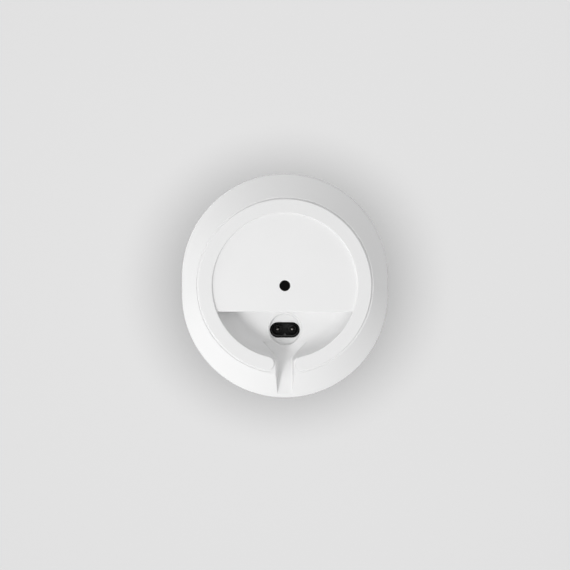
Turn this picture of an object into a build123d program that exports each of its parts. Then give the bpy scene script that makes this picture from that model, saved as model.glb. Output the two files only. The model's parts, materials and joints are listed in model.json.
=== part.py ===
from build123d import *
import os
from math import asin, cos, degrees, pi, radians, sin, sqrt

os.makedirs("parts", exist_ok=True)

# Smart speaker. +Z up, front at -Y, rear at +Y, standing on its foot ring at z = 0.

# ------------------------------------------------------------ clearances
fit = 0.1               # seated or glued pieces, round their curved sides
slip = 0.3              # pieces that move, and seams

# ------------------------------------------------------------ outer body
body_width = 120.0      # across the two flat sides
side_flat = 10.5        # straight length of each side, between the round front and rear
body_height = 182.5
edge_round = 1.6        # rounding between the tapered bands and the upright wall

# ------------------------------------------------------------ foot ring
foot_proud = 1.3        # how far it stands below the panel
foot_sunk = 0.7         # how deep it sits in its groove
foot_inset = 9.1        # from the body's flat side to the ring
foot_width = 8.7
foot_gap = 12.0         # opening at the rear, for the cable

# ------------------------------------------------------------ base
band_land = 0.3         # panel left outside the ring
band_rise = 10.7
rim_height = 2.0        # upright rim above the band
rim_wall = 3.3
base_floor = 2.6
base_inset = 1.2        # foot of the hollow, inside the foot of the band
lip_height = 2.5
recess_chord = 15.0     # straight wall of the cable recess
recess_depth = 17.7
recess_turn = 10.2      # width of the curve from its floor to the rim
recess_wall = 2.4
chord_break = 0.5       # chamfer along the straight edge
pocket_diameter = 19.0
pocket_depth = 2.5
inlet_offset = 10.75    # from the straight wall to the inlet's middle
fan_reach = 11.2        # the recess starts to narrow this far inside the ring
fan_width = 36.0
throat_reach = 0.8      # the throat, past the ring's inner edge
throat_round = 2.5      # where the fan turns into the channel
throat_depth = 12.6
level_reach = 12.8      # from here the channel's roof is level
channel_depth = 9.2
channel_mouth = 10.8    # width at the panel
channel_draft = 7.0      # degrees, each wall
channel_wall = 2.2

# ------------------------------------------------------------ inlet and insert
inlet_length = 17.5
inlet_width = 9.0
inlet_wall = 0.9
inlet_cavity = 11.0
inlet_key = 2.4         # width of the notch at the rear of the opening
inlet_flange_length = 24.0
inlet_flange_width = 15.0
pin_pitch = 8.6
pin_diameter = 2.4
pin_recess = 2.0
pin_tail = 0.9          # length above the board
insert_bore = 6.35
insert_wall = 1.7
insert_length = 10.0
insert_cover = 1.2      # panel below the insert
boss_wall = 2.4

# ------------------------------------------------------------ outer skin
grille_thickness = 1.6
cloth_thickness = 0.5
spine_width = 38.0
spine_thickness = 3.0
cap_rise = 10.0
cap_land_inset = 8.8    # from the body's flat side to the top's flat
plate_margin = 1.8
plate_thickness = 2.0
plate_ledge = 2.4
cap_deck = 2.4
deck_drop = 6.5         # from the top down to the deck's upper face
touch_board_inset = 5.4 # inside the plate's edge, as the next insets
touch_board_thickness = 1.2
trough_length = 44.0
trough_width = 8.0
trough_depth = 0.7
trough_y = -20.0
mic_inset = 14.4
mic_hole = 1.0
window_inset = 9.4
window_diameter = 1.8

# ------------------------------------------------------------ cabinet
cabinet_space = 1.8     # between the cloth and the cabinet
cabinet_wall = 3.2
baffle_wall = 6.0
bay_height = 40.1       # from the base's floor up to the cabinet
cap_space = 6.5         # from the cabinet up to the cap's seam
baffle_depth = 27.25    # from the skin's front to the baffle
back_depth = 19.25      # from the spine's face to the cabinet's back
split_y = 6.0
seal = 0.8
facet_angle = 40.0
facet_inset = 16.0      # from the body's flat side to a facet's distance
facet_height = 32.0

# ------------------------------------------------------------ screws
case_shank = 3.0
case_head = 5.2
case_head_height = 2.2
case_length = 12.0
case_seat = 4.0         # material under a case screw's head
case_post = 8.0
base_screw_inset = 4.6  # inside the foot ring's edge
cap_screw_inset = 9.4   # inside the plate's edge
joint_x = 15.0
joint_inset = 6.0
joint_reach = 10.0      # how far the joint posts run in front of the split
woofer_screw_length = 8.5
board_shank = 2.4
board_head = 4.6
board_head_height = 1.6
board_length = 7.2
board_post = 6.0
tweeter_shank = 2.0
tweeter_head = 3.6
tweeter_head_height = 1.2
tweeter_screw_length = 5.0

# ------------------------------------------------------------ woofer
woofer_side = 3.4       # from the baffle's side to the woofer
woofer_gap = 2.0        # above and below the woofer
woofer_hole_edge = 2.4
woofer_gasket_height = 1.0
woofer_flange = 2.5
woofer_land = 4.8       # width of the basket's flange
basket_sheet = 2.0
basket_depth = 29.0     # gasket to the rear face
basket_taper = 7.2
basket_rib = 11.4
surround_sheet = 0.6
roll_radius = 3.1
surround_land = 2.8
roll_margin = 3.7       # from the throat to the surround's roll
cone_land = 1.8
cone_sheet = 0.5
cone_depth = 12.3
coil_radius = 12.35
coil_former = 0.35
coil_winding = 0.65
coil_length = 23.0
winding_length = 6.0
coil_gap = 0.4
top_plate_thickness = 5.0
magnet_margin = 6.2     # so that the magnet passes the throat
magnet_bore = 17.0
magnet_thickness = 12.0
yoke_inset = 2.0
yoke_thickness = 5.0
vent_diameter = 8.0
cap_dome = 5.0
cap_margin = 2.0        # how far the dust cap reaches past the coil

# ------------------------------------------------------------ tweeters
horn_length = 40.0
horn_height = 29.0
horn_thickness = 3.0
horn_mouth = 12.5
horn_throat = 8.6
horn_barrel = 11.5
barrel_depth = 8.0
horn_hole_edge = 3.5
dome_radius = 8.1
dome_rise = 3.4
dome_sheet = 0.4
dome_back = 4.0
dome_former = 5.0
motor_length = 12.0
motor_groove = 5.0
groove_side = 0.4

# ------------------------------------------------------------ electronics
board_thickness = 1.6
board_hole_edge = 4.0
psu_length = 74.0
psu_width = 52.0
psu_y = 1.0
psu_tab_width = 28.0
psu_tab_reach = 37.0
psu_rise = 32.1         # from the base's floor up to the board
transformer_size = 24.0
transformer_height = 17.0
capacitor_diameter = 13.6
capacitor_height = 18.0
choke_diameter = 14.0
choke_height = 12.0
main_width = 64.0
main_top_space = 10.0   # from the board's top to the cabinet's
main_stand = 3.0
main_bottom = 14.0      # above the cabinet's bottom
chip_size = 16.0
chip_height = 1.8
inductor_size = 8.0
inductor_height = 3.6
shield_length = 24.0
shield_width = 18.0
shield_height = 2.6
spreader_length = 46.0
spreader_width = 32.0
spreader_thickness = 1.6
antenna_width = 9.0
antenna_length = 40.0
antenna_thickness = 0.8
ribbon_width = 10.0
ribbon_thickness = 0.4

# ------------------------------------------------------------ rear controls
io_width = 26.0
io_height = 48.0
io_depth = 10.25        # from the spine's face to the board
io_bottom = 30.0
io_hole_edge = 3.5
control_sunk = 0.35     # controls stand this far inside the spine's face
button_z = 52.0
button_diameter = 6.8
button_flange = 9.2
button_travel = 0.8
flange_thickness = 1.0
tact_size = 6.0
tact_height = 2.6
slider_z = 66.0
slider_length = 5.0
slider_height = 3.0
slider_travel = 2.5
slider_flange_length = 9.5
slider_flange_height = 6.0
switch_length = 9.0
switch_width = 5.0
switch_height = 2.6
usb_z = 38.0
usb_length = 8.94
usb_width = 3.26
usb_wall = 0.3
usb_cavity = 6.5
usb_tongue = 6.6

# ------------------------------------------------------------ levels and radii that follow
body_depth = body_width + side_flat
arc_y = side_flat / 2
spine_outer = body_depth / 2
foot_radius = body_width / 2 - foot_inset
panel_z = foot_proud
groove_z = panel_z + foot_sunk
floor_z = panel_z + base_floor
band_z = panel_z + band_rise
seam_z = band_z + rim_height
lip_z = seam_z + lip_height
band_foot = foot_radius + band_land
foot_inner = foot_radius - foot_width
foot_middle = foot_radius - foot_width / 2
foot_turn = degrees(asin((foot_gap + foot_width) / 2 / foot_middle))
foot_path = CenterArc((0, 0), foot_middle, 90 + foot_turn, 360 - 2 * foot_turn)
recess_flat = foot_inner - recess_turn
inlet_y = recess_chord + inlet_offset
fan_y = foot_inner - fan_reach
throat_y = foot_inner + throat_reach
level_y = foot_inner + level_reach
base_screw_radius = foot_radius - base_screw_inset
cap_land_radius = body_width / 2 - cap_land_inset
plate_radius = cap_land_radius - plate_margin
touch_board_radius = plate_radius - touch_board_inset
mic_circle = plate_radius - mic_inset
window_y = window_inset - plate_radius
cap_screw_radius = plate_radius - cap_screw_inset
recess_z = panel_z + recess_depth
pocket_z = recess_z + pocket_depth
inlet_seat = pocket_z + recess_wall
throat_z = panel_z + throat_depth
roof_z = panel_z + channel_depth
deck_z = floor_z + bay_height
psu_z = floor_z + psu_rise
cap_band_z = body_height - cap_rise
cap_seam_z = cap_band_z - rim_height
cap_deck_z = body_height - deck_drop
ledge_z = body_height - plate_thickness
cabinet_top = cap_seam_z - cap_space
lip_inset = grille_thickness + fit
cloth_inset = lip_inset + cloth_thickness
cabinet_inset = cloth_inset + cabinet_space
back_y = spine_outer - back_depth
baffle_y = baffle_depth - spine_outer
facet_distance = body_width / 2 - facet_inset
facet_z = cabinet_top - facet_height
tweeter_z = facet_z + facet_height / 2
woofer_z = deck_z + (facet_z - deck_z) / 2
baffle_half = sqrt((body_width / 2 - cabinet_inset) ** 2 - (baffle_y + arc_y) ** 2)
woofer_radius = min(baffle_half - woofer_side, (facet_z - deck_z) / 2 - woofer_gap)
woofer_screw_radius = woofer_radius - woofer_hole_edge
woofer_throat = woofer_radius - woofer_land
basket_foot = woofer_throat - basket_taper
basket_window = basket_foot * pi / 3 - basket_rib
cone_radius = woofer_throat - roll_margin - 2 * roll_radius
magnet_radius = woofer_throat - magnet_margin
yoke_radius = magnet_radius - yoke_inset
horn_hole_x = horn_length - 2 * horn_hole_edge
horn_hole_z = horn_height - 2 * horn_hole_edge
psu_hole_x = psu_length - 2 * board_hole_edge
psu_hole_y = psu_width - 2 * board_hole_edge
shank_r = case_shank / 2
shank_hole = shank_r + fit
head_hole = case_head / 2 + 2 * fit
board_hole = board_shank / 2 + fit
main_y = back_y + main_stand
main_z = deck_z + main_bottom
main_height = cabinet_top - main_top_space - main_z
main_hole_x = main_width - 2 * board_hole_edge
main_hole_z = main_height - 2 * board_hole_edge
io_y = spine_outer - io_depth
io_back = io_y + board_thickness
io_hole_x = io_width - 2 * io_hole_edge
io_hole_z = io_height - 2 * board_hole_edge


def stadium(inset, mode=Mode.ADD):
    """Plan outline of the body, drawn in by inset."""
    return SlotOverall(body_depth - 2 * inset, body_width - 2 * inset, rotation=90, mode=mode)


def split_circle(radius):
    """Circle cut into arcs and short flats' shares, as long in proportion as the outline's."""
    half = 180 * side_flat / (2 * side_flat + pi * body_width)
    CenterArc((0, 0), radius, half, 180 - 2 * half)
    CenterArc((0, 0), radius, 180 - half, 2 * half)
    CenterArc((0, 0), radius, 180 + half, 180 - 2 * half)
    CenterArc((0, 0), radius, -half, 2 * half)


def band(radius, circle_z, inset, outline_z):
    """Ruled band between a circle and the outline."""
    with BuildPart() as solid:
        with BuildSketch(Plane.XY.offset(circle_z)):
            with BuildLine():
                split_circle(radius)
            make_face()
        with BuildSketch(Plane.XY.offset(outline_z)):
            stadium(inset)
        loft(ruled=True)
    return solid.part


def bowl(wall):
    """Cable recess with its concave rim, or its outside with a wall."""
    with BuildPart() as solid:
        with BuildSketch(Plane.XZ):
            with BuildLine():
                rim_run = foot_inner - recess_flat + wall
                EllipticalCenterArc((recess_flat, panel_z), rim_run, recess_depth + wall, 0, arc_size=90)
                Polyline(
                    (recess_flat, recess_z + wall),
                    (0, recess_z + wall),
                    (0, panel_z),
                    (foot_inner + wall, panel_z),
                )
            make_face()
        revolve(axis=Axis.Z)
        with BuildSketch(Plane.XY):
            with Locations((0, recess_chord - wall + body_depth / 2)):
                Rectangle(2 * body_width, body_depth)
        extrude(amount=deck_z, mode=Mode.INTERSECT)
    return solid.part


def roof_profile(lift, rear_y, foot_y, foot_z):
    """Side view of the way from the recess to the rear, under a roof raised by lift."""
    Spline(
        (fan_y, recess_z + lift),
        (throat_y, throat_z + lift),
        (level_y, roof_z + lift),
        tangents=((1, 0), (1, 0)),
    )
    Polyline(
        (level_y, roof_z + lift),
        (rear_y, roof_z + lift),
        (foot_y, foot_z),
        (fan_y, foot_z),
        (fan_y, recess_z + lift),
    )


def way_out(wall, rear_y, foot_y, foot_z):
    """Cable's way: a fan out of the recess into a drafted channel, or its outside with a wall."""
    with BuildPart() as solid:
        with BuildSketch(Plane.YZ):
            with BuildLine():
                roof_profile(wall, rear_y, foot_y, foot_z)
            make_face()
        extrude(amount=fan_width / 2 + wall, both=True)
        half = channel_mouth / 2
        with BuildSketch(Plane.XY.offset(panel_z)) as plan:
            with BuildLine():
                Polyline(
                    (-fan_width / 2, fan_y),
                    (fan_width / 2, fan_y),
                    (half, throat_y),
                    (half, body_depth),
                    (-half, body_depth),
                    (-half, throat_y),
                    (-fan_width / 2, fan_y),
                )
            make_face()
            corners = plan.vertices().filter_by_position(Axis.Y, throat_y - 0.01, throat_y + 0.01)
            fillet(corners, throat_round)
            if wall > 0:
                offset(amount=wall)
        extrude(amount=inlet_seat, taper=channel_draft, mode=Mode.INTERSECT)
    return solid.part


def cabinet_block(wall, front_wall):
    """Cabinet's outside, or its hollow when drawn in by its walls."""
    with BuildPart() as solid:
        with BuildSketch(Plane.XY.offset(deck_z + wall)):
            stadium(cabinet_inset + wall)
            with Locations((0, (baffle_y + front_wall + back_y - wall) / 2)):
                Rectangle(body_width, back_y - baffle_y - wall - front_wall, mode=Mode.INTERSECT)
        extrude(amount=facet_z - deck_z - 2 * wall)
        reach = (facet_distance - wall) / cos(radians(facet_angle))
        slope = sin(radians(facet_angle)) / cos(radians(facet_angle))
        with BuildSketch(Plane.XY.offset(facet_z + wall)):
            stadium(cabinet_inset + wall)
            with BuildLine():
                Polyline(
                    (0, -reach),
                    (body_width, -reach + slope * body_width),
                    (body_width, body_depth),
                    (-body_width, body_depth),
                    (-body_width, -reach + slope * body_width),
                    (0, -reach),
                )
            make_face(mode=Mode.INTERSECT)
            with Locations((0, back_y - wall - body_depth / 2)):
                Rectangle(2 * body_width, body_depth, mode=Mode.INTERSECT)
        extrude(amount=facet_height - 2 * wall)
    return solid.part


# ============================================================ base
band_outside = band(band_foot, panel_z, 0, band_z)
band_hollow = band(band_foot - base_inset, floor_z, rim_wall, seam_z)
recess_outside = bowl(recess_wall)
recess_inside = bowl(0)

cable_way = way_out(0, body_depth, body_depth, -foot_proud)
cable_way_outside = way_out(channel_wall, body_depth / 2 - rim_wall, band_foot, floor_z - 0.5)

with BuildPart() as base_shell:
    add(band_outside)
    with BuildSketch(Plane.XY.offset(band_z)):
        stadium(0)
    extrude(amount=rim_height)
    brow = base_shell.edges().filter_by_position(Axis.Z, band_z - 0.01, band_z + 0.01)
    fillet(brow, edge_round)
    add(band_hollow, mode=Mode.SUBTRACT)
    # lip that the grille slides over, open where the spine stands
    with BuildSketch(Plane.XY.offset(seam_z)):
        stadium(lip_inset)
        stadium(rim_wall, Mode.SUBTRACT)
    extrude(amount=lip_height)
    with BuildSketch(Plane.XY.offset(seam_z)):
        with Locations((0, body_depth / 2)):
            Rectangle(spine_width + 2 * slip, body_depth)
    extrude(amount=lip_height, mode=Mode.SUBTRACT)
    # posts for the case screws and the power board
    with BuildSketch(Plane.XY.offset(floor_z - 0.5)):
        with PolarLocations(base_screw_radius, 4, 45):
            Circle(case_post / 2)
    extrude(amount=deck_z - floor_z + 0.5)
    with BuildSketch(Plane.XY.offset(floor_z - 0.5)):
        with Locations((0, psu_y)):
            with GridLocations(psu_hole_x, psu_hole_y, 2, 2):
                Circle(board_post / 2)
    extrude(amount=psu_z - floor_z + 0.5)
    # boss of the threaded insert
    with BuildSketch(Plane.XY.offset(panel_z + insert_cover)):
        Circle(insert_bore / 2 + insert_wall + boss_wall)
    extrude(amount=insert_length + boss_wall)
    # outside of the recess, its pocket and the channel
    add(recess_outside)
    with BuildSketch(Plane.XY.offset(recess_z)):
        with Locations((0, inlet_y)):
            Circle(pocket_diameter / 2 + recess_wall)
    extrude(amount=inlet_seat - recess_z)
    add(cable_way_outside)
    # ring groove
    with BuildSketch(Plane.XY.offset(panel_z)):
        SlotArc(foot_path, foot_width + 2 * fit)
    extrude(amount=foot_sunk, mode=Mode.SUBTRACT)
    # recess, pocket, inlet cut-out
    add(recess_inside, mode=Mode.SUBTRACT)
    with BuildSketch(Plane.XY.offset(panel_z)):
        with Locations((0, inlet_y)):
            Circle(pocket_diameter / 2)
    extrude(amount=pocket_z - panel_z, mode=Mode.SUBTRACT)
    with BuildSketch(Plane.XY.offset(panel_z)):
        with Locations((0, inlet_y)):
            SlotOverall(inlet_length + 2 * fit, inlet_width + 2 * fit)
    extrude(amount=inlet_seat - panel_z, mode=Mode.SUBTRACT)
    # insert hole
    with BuildSketch(Plane.XY.offset(panel_z)):
        Circle(insert_bore / 2)
    extrude(amount=insert_cover, mode=Mode.SUBTRACT)
    with BuildSketch(Plane.XY.offset(panel_z + insert_cover)):
        Circle(insert_bore / 2 + insert_wall + fit)
    extrude(amount=insert_length, mode=Mode.SUBTRACT)
    # case screws, sunk deep under the ring
    with BuildSketch(Plane.XY.offset(panel_z)):
        with PolarLocations(base_screw_radius, 4, 45):
            Circle(head_hole)
    extrude(amount=deck_z - case_seat - panel_z, mode=Mode.SUBTRACT)
    with BuildSketch(Plane.XY.offset(panel_z)):
        with PolarLocations(base_screw_radius, 4, 45):
            Circle(shank_hole)
    extrude(amount=deck_z - panel_z, mode=Mode.SUBTRACT)
    with BuildSketch(Plane.XY.offset(psu_z)):
        with Locations((0, psu_y)):
            with GridLocations(psu_hole_x, psu_hole_y, 2, 2):
                Circle(board_hole)
    extrude(amount=-board_length, mode=Mode.SUBTRACT)
    # small chamfer along the recess's straight wall
    with BuildSketch(Plane.YZ):
        with BuildLine():
            Polyline(
                (recess_chord - chord_break, panel_z),
                (recess_chord, panel_z),
                (recess_chord, panel_z + chord_break),
                (recess_chord - chord_break, panel_z),
            )
        make_face()
    extrude(amount=sqrt(foot_inner**2 - recess_chord**2), both=True, mode=Mode.SUBTRACT)
    add(cable_way, mode=Mode.SUBTRACT)

base_shell.part.label = "base_shell"
export_step(base_shell.part, "parts/base_shell.step")

with BuildPart() as foot_ring:
    with BuildSketch(Plane.XY):
        SlotArc(foot_path, foot_width)
    extrude(amount=groove_z)
    fillet(foot_ring.edges().group_by(Axis.Z)[0], foot_sunk)
foot_ring.part.label = "foot_ring"
export_step(foot_ring.part, "parts/foot_ring.step")

with BuildPart() as mount_insert:
    with BuildSketch(Plane.XY.offset(panel_z + insert_cover)):
        Circle(insert_bore / 2 + insert_wall)
        Circle(insert_bore / 2, mode=Mode.SUBTRACT)
    extrude(amount=insert_length)
mount_insert.part.label = "mount_insert"
export_step(mount_insert.part, "parts/mount_insert.step")

with BuildPart() as inlet_body:
    with BuildSketch(Plane.XY.offset(pocket_z)):
        with Locations((0, inlet_y)):
            SlotOverall(inlet_length, inlet_width)
    extrude(amount=inlet_seat - pocket_z)
    chamfer(inlet_body.edges().group_by(Axis.Z)[0], 0.25)
    with BuildSketch(Plane.XY.offset(inlet_seat)):
        with Locations((0, inlet_y)):
            RectangleRounded(inlet_flange_length, inlet_flange_width, 2)
    extrude(amount=psu_z - inlet_seat)
    with BuildSketch(Plane.XY.offset(pocket_z)):
        with Locations((0, inlet_y)):
            SlotOverall(inlet_length - 2 * inlet_wall, inlet_width - 2 * inlet_wall)
        key_y = inlet_y + inlet_width / 2 - inlet_wall
        with BuildLine():
            Polyline(
                (-inlet_key / 2, key_y - fit),
                (0, key_y + inlet_wall / 2),
                (inlet_key / 2, key_y - fit),
                (-inlet_key / 2, key_y - fit),
            )
        make_face()
    extrude(amount=inlet_cavity, mode=Mode.SUBTRACT)
    with BuildSketch(Plane.XY.offset(pocket_z)):
        with Locations((0, inlet_y)):
            with GridLocations(pin_pitch, 1, 2, 1):
                Circle(pin_diameter / 2 + fit)
    extrude(amount=psu_z - pocket_z, mode=Mode.SUBTRACT)
inlet_body.part.label = "inlet_body"
export_step(inlet_body.part, "parts/inlet_body.step")

with BuildPart() as inlet_pins:
    with BuildSketch(Plane.XY.offset(pocket_z + pin_recess)):
        with Locations((0, inlet_y)):
            with GridLocations(pin_pitch, 1, 2, 1):
                Circle(pin_diameter / 2)
    extrude(amount=psu_z + board_thickness + pin_tail - pocket_z - pin_recess)
    chamfer(inlet_pins.edges().group_by(Axis.Z)[0], 0.6)
inlet_pins.part.label = "inlet_pins"
export_step(inlet_pins.part, "parts/inlet_pins.step")

# ============================================================ outer skin
with BuildPart() as grille_wrap:
    with BuildSketch(Plane.XY.offset(seam_z)):
        stadium(0)
        stadium(grille_thickness, Mode.SUBTRACT)
        with Locations((0, body_depth / 2)):
            Rectangle(spine_width, body_depth, mode=Mode.SUBTRACT)
    extrude(amount=cap_seam_z - slip - seam_z)
grille_wrap.part.label = "grille_wrap"
export_step(grille_wrap.part, "parts/grille_wrap.step")

with BuildPart() as acoustic_cloth:
    with BuildSketch(Plane.XY.offset(lip_z)):
        stadium(lip_inset)
        stadium(cloth_inset, Mode.SUBTRACT)
        with Locations((0, body_depth / 2)):
            Rectangle(spine_width + 2 * slip, body_depth, mode=Mode.SUBTRACT)
    extrude(amount=cap_seam_z - lip_height - lip_z)
acoustic_cloth.part.label = "acoustic_cloth"
export_step(acoustic_cloth.part, "parts/acoustic_cloth.step")

with BuildPart() as rear_spine:
    with BuildSketch(Plane.XY.offset(seam_z)):
        stadium(0)
        stadium(spine_thickness, Mode.SUBTRACT)
        with Locations((0, body_depth / 2)):
            Rectangle(spine_width - 2 * fit, body_depth, mode=Mode.INTERSECT)
    extrude(amount=cap_seam_z - slip - seam_z)
    # posts of the rear board, up to the spine's inside
    with BuildSketch(Plane.XZ.offset(-io_back)):
        with Locations((0, io_bottom + io_height / 2)):
            with GridLocations(io_hole_x, io_hole_z, 2, 2):
                Circle(board_post / 2)
    extrude(amount=-(spine_outer - spine_thickness / 2 - 1 - io_back))
    with BuildSketch(Plane.XZ.offset(-io_back)):
        with Locations((0, io_bottom + io_height / 2)):
            with GridLocations(io_hole_x, io_hole_z, 2, 2):
                Circle(board_hole)
    extrude(amount=-(board_length - board_thickness), mode=Mode.SUBTRACT)
    # openings for the button, the slider and the port
    with BuildSketch(Plane.XZ.offset(-io_back)):
        with Locations((0, button_z)):
            Circle(button_diameter / 2 + slip)
        with Locations((0, slider_z)):
            RectangleRounded(slider_length + slider_travel + 2 * slip, slider_height + 2 * slip, 1)
        with Locations((0, usb_z)):
            SlotOverall(usb_length + 2 * slip, usb_width + 2 * slip)
    extrude(amount=-body_depth, mode=Mode.SUBTRACT)
rear_spine.part.label = "rear_spine"
export_step(rear_spine.part, "parts/rear_spine.step")

cap_outside = band(cap_land_radius, body_height, 0, cap_band_z)
cap_hollow = band(plate_radius - plate_ledge, cap_deck_z - cap_deck, rim_wall, cap_seam_z)
with BuildPart() as top_cap:
    add(cap_outside)
    with BuildSketch(Plane.XY.offset(cap_seam_z)):
        stadium(0)
    extrude(amount=rim_height)
    brow = top_cap.edges().filter_by_position(Axis.Z, cap_band_z - 0.01, cap_band_z + 0.01)
    fillet(brow, edge_round)
    add(cap_hollow, mode=Mode.SUBTRACT)
    with BuildSketch(Plane.XY.offset(cap_seam_z)):
        stadium(lip_inset)
        stadium(rim_wall, Mode.SUBTRACT)
        with Locations((0, body_depth / 2)):
            Rectangle(spine_width + 2 * slip, body_depth, mode=Mode.SUBTRACT)
    extrude(amount=-lip_height)
    with BuildSketch(Plane.XY.offset(cap_deck_z - cap_deck)):
        with PolarLocations(cap_screw_radius, 4):
            Circle(case_post / 2)
    extrude(amount=cabinet_top - cap_deck_z + cap_deck)
    # well of the touch board and seat of the plate
    with BuildSketch(Plane.XY.offset(cap_deck_z)):
        Circle(plate_radius - plate_ledge)
    extrude(amount=deck_drop, mode=Mode.SUBTRACT)
    with BuildSketch(Plane.XY.offset(ledge_z)):
        Circle(plate_radius + fit)
    extrude(amount=plate_thickness, mode=Mode.SUBTRACT)
    with BuildSketch(Plane.XY.offset(cap_deck_z)):
        with PolarLocations(cap_screw_radius, 4):
            Circle(head_hole)
    extrude(amount=cabinet_top + case_seat - cap_deck_z, mode=Mode.SUBTRACT)
    with BuildSketch(Plane.XY.offset(cap_deck_z)):
        with PolarLocations(cap_screw_radius, 4):
            Circle(shank_hole)
    extrude(amount=cabinet_top - cap_deck_z, mode=Mode.SUBTRACT)
    # slot of the ribbon
    with BuildSketch(Plane.XY.offset(cap_deck_z - cap_deck - 1)):
        slot_end = main_y + board_thickness + 2 * ribbon_thickness + slip
        with Locations((0, (slot_end + touch_board_radius) / 2)):
            Rectangle(ribbon_width + 4 * slip, slot_end - touch_board_radius)
    extrude(amount=cap_deck + 1 + touch_board_thickness + 1, mode=Mode.SUBTRACT)
top_cap.part.label = "top_cap"
export_step(top_cap.part, "parts/top_cap.step")

with BuildPart() as touch_plate:
    with BuildSketch(Plane.XY.offset(ledge_z)):
        Circle(plate_radius)
    extrude(amount=plate_thickness)
    with BuildSketch(Plane.XY.offset(body_height)):
        with Locations((0, trough_y)):
            SlotOverall(trough_length, trough_width)
    extrude(amount=-trough_depth, taper=45, mode=Mode.SUBTRACT)
    with BuildSketch(Plane.XY.offset(ledge_z)):
        with PolarLocations(mic_circle, 4, 45):
            Circle(mic_hole / 2)
        with Locations((0, window_y)):
            Circle(window_diameter / 2 + fit)
    extrude(amount=plate_thickness, mode=Mode.SUBTRACT)
    chamfer(touch_plate.edges().filter_by(GeomType.CIRCLE).sort_by(SortBy.RADIUS)[-1], 0.3)
touch_plate.part.label = "touch_plate"
export_step(touch_plate.part, "parts/touch_plate.step")

touch_top = cap_deck_z + touch_board_thickness
lamp_height = 0.6
mic_height = 1.1
window_flange = 1.0
with BuildPart() as status_window:
    with BuildSketch(Plane.XY.offset(touch_top + lamp_height + slip)):
        with Locations((0, window_y)):
            Circle(window_diameter / 2)
    extrude(amount=body_height - touch_top - lamp_height - slip)
    with BuildSketch(Plane.XY.offset(ledge_z - window_flange)):
        with Locations((0, window_y)):
            Circle(window_diameter)
    extrude(amount=window_flange)
status_window.part.label = "status_window"
export_step(status_window.part, "parts/status_window.step")

with BuildPart() as touch_board:
    with BuildSketch(Plane.XY.offset(cap_deck_z)):
        Circle(touch_board_radius)
    extrude(amount=touch_board_thickness)
touch_board.part.label = "touch_board"
export_step(touch_board.part, "parts/touch_board.step")

with BuildPart() as microphones:
    with BuildSketch(Plane.XY.offset(touch_top)):
        with PolarLocations(mic_circle, 4, 45):
            Rectangle(3.5, 2.65)
    extrude(amount=mic_height)
    with BuildSketch(Plane.XY.offset(touch_top)):
        with Locations((0, window_y)):
            Rectangle(1.6, 1.6)
    extrude(amount=lamp_height)
microphones.part.label = "microphones"
export_step(microphones.part, "parts/microphones.step")

# ============================================================ rear controls
with BuildPart() as rear_io_board:
    with BuildSketch(Plane.XZ.offset(-io_y)):
        with Locations((0, io_bottom + io_height / 2)):
            RectangleRounded(io_width, io_height, 1.5)
            with GridLocations(io_hole_x, io_hole_z, 2, 2):
                Circle(board_hole, mode=Mode.SUBTRACT)
    extrude(amount=-board_thickness)
rear_io_board.part.label = "rear_io_board"
export_step(rear_io_board.part, "parts/rear_io_board.step")

face_y = spine_outer - control_sunk
flange_y = spine_outer - spine_thickness - slip - 0.25
with BuildPart() as pairing_button:
    with BuildSketch(Plane.XZ.offset(-flange_y)):
        with Locations((0, button_z)):
            Circle(button_diameter / 2)
    extrude(amount=-(face_y - flange_y))
    fillet(pairing_button.edges().sort_by(Axis.Y)[-1], 0.4)
    with BuildSketch(Plane.XZ.offset(-flange_y)):
        with Locations((0, button_z)):
            Circle(button_flange / 2)
    extrude(amount=flange_thickness)
pairing_button.part.label = "pairing_button"
export_step(pairing_button.part, "parts/pairing_button.step")

plunger = flange_y - flange_thickness - button_travel - slip - io_back - tact_height
with BuildPart() as pairing_switch:
    with BuildSketch(Plane.XZ.offset(-io_back)):
        with Locations((0, button_z)):
            Rectangle(tact_size, tact_size)
    extrude(amount=-tact_height)
    with BuildSketch(Plane.XZ.offset(-io_back - tact_height)):
        with Locations((0, button_z)):
            Circle(1.7)
    extrude(amount=-plunger)
pairing_switch.part.label = "pairing_switch"
export_step(pairing_switch.part, "parts/pairing_switch.step")

with BuildPart() as mic_slider:
    with BuildSketch(Plane.XZ.offset(-flange_y)):
        with Locations((-slider_travel / 2, slider_z)):
            RectangleRounded(slider_length, slider_height, 0.8)
    extrude(amount=-(face_y - flange_y))
    with BuildSketch(Plane.XZ.offset(-flange_y)):
        with Locations((-slider_travel / 2, slider_z)):
            RectangleRounded(slider_flange_length, slider_flange_height, 0.8)
    extrude(amount=flange_thickness)
    with BuildSketch(Plane.XZ.offset(-flange_y + flange_thickness)):
        with Locations((-slider_travel / 2, slider_z)):
            Rectangle(2, 2)
    extrude(amount=flange_y - flange_thickness - io_back - switch_height - slip)
mic_slider.part.label = "mic_slider"
export_step(mic_slider.part, "parts/mic_slider.step")

with BuildPart() as mic_switch:
    with BuildSketch(Plane.XZ.offset(-io_back)):
        with Locations((0, slider_z)):
            Rectangle(switch_length, switch_width)
    extrude(amount=-switch_height)
mic_switch.part.label = "mic_switch"
export_step(mic_switch.part, "parts/mic_switch.step")

with BuildPart() as usb_port:
    with BuildSketch(Plane.XZ.offset(-io_back)):
        with Locations((0, usb_z)):
            SlotOverall(usb_length, usb_width)
    extrude(amount=-(face_y - io_back))
    with BuildSketch(Plane.XZ.offset(-face_y)):
        with Locations((0, usb_z)):
            SlotOverall(usb_length - 2 * usb_wall, usb_width - 2 * usb_wall)
            Rectangle(usb_tongue, 0.7, mode=Mode.SUBTRACT)
    extrude(amount=usb_cavity, mode=Mode.SUBTRACT)
usb_port.part.label = "usb_port"
export_step(usb_port.part, "parts/usb_port.step")

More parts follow.
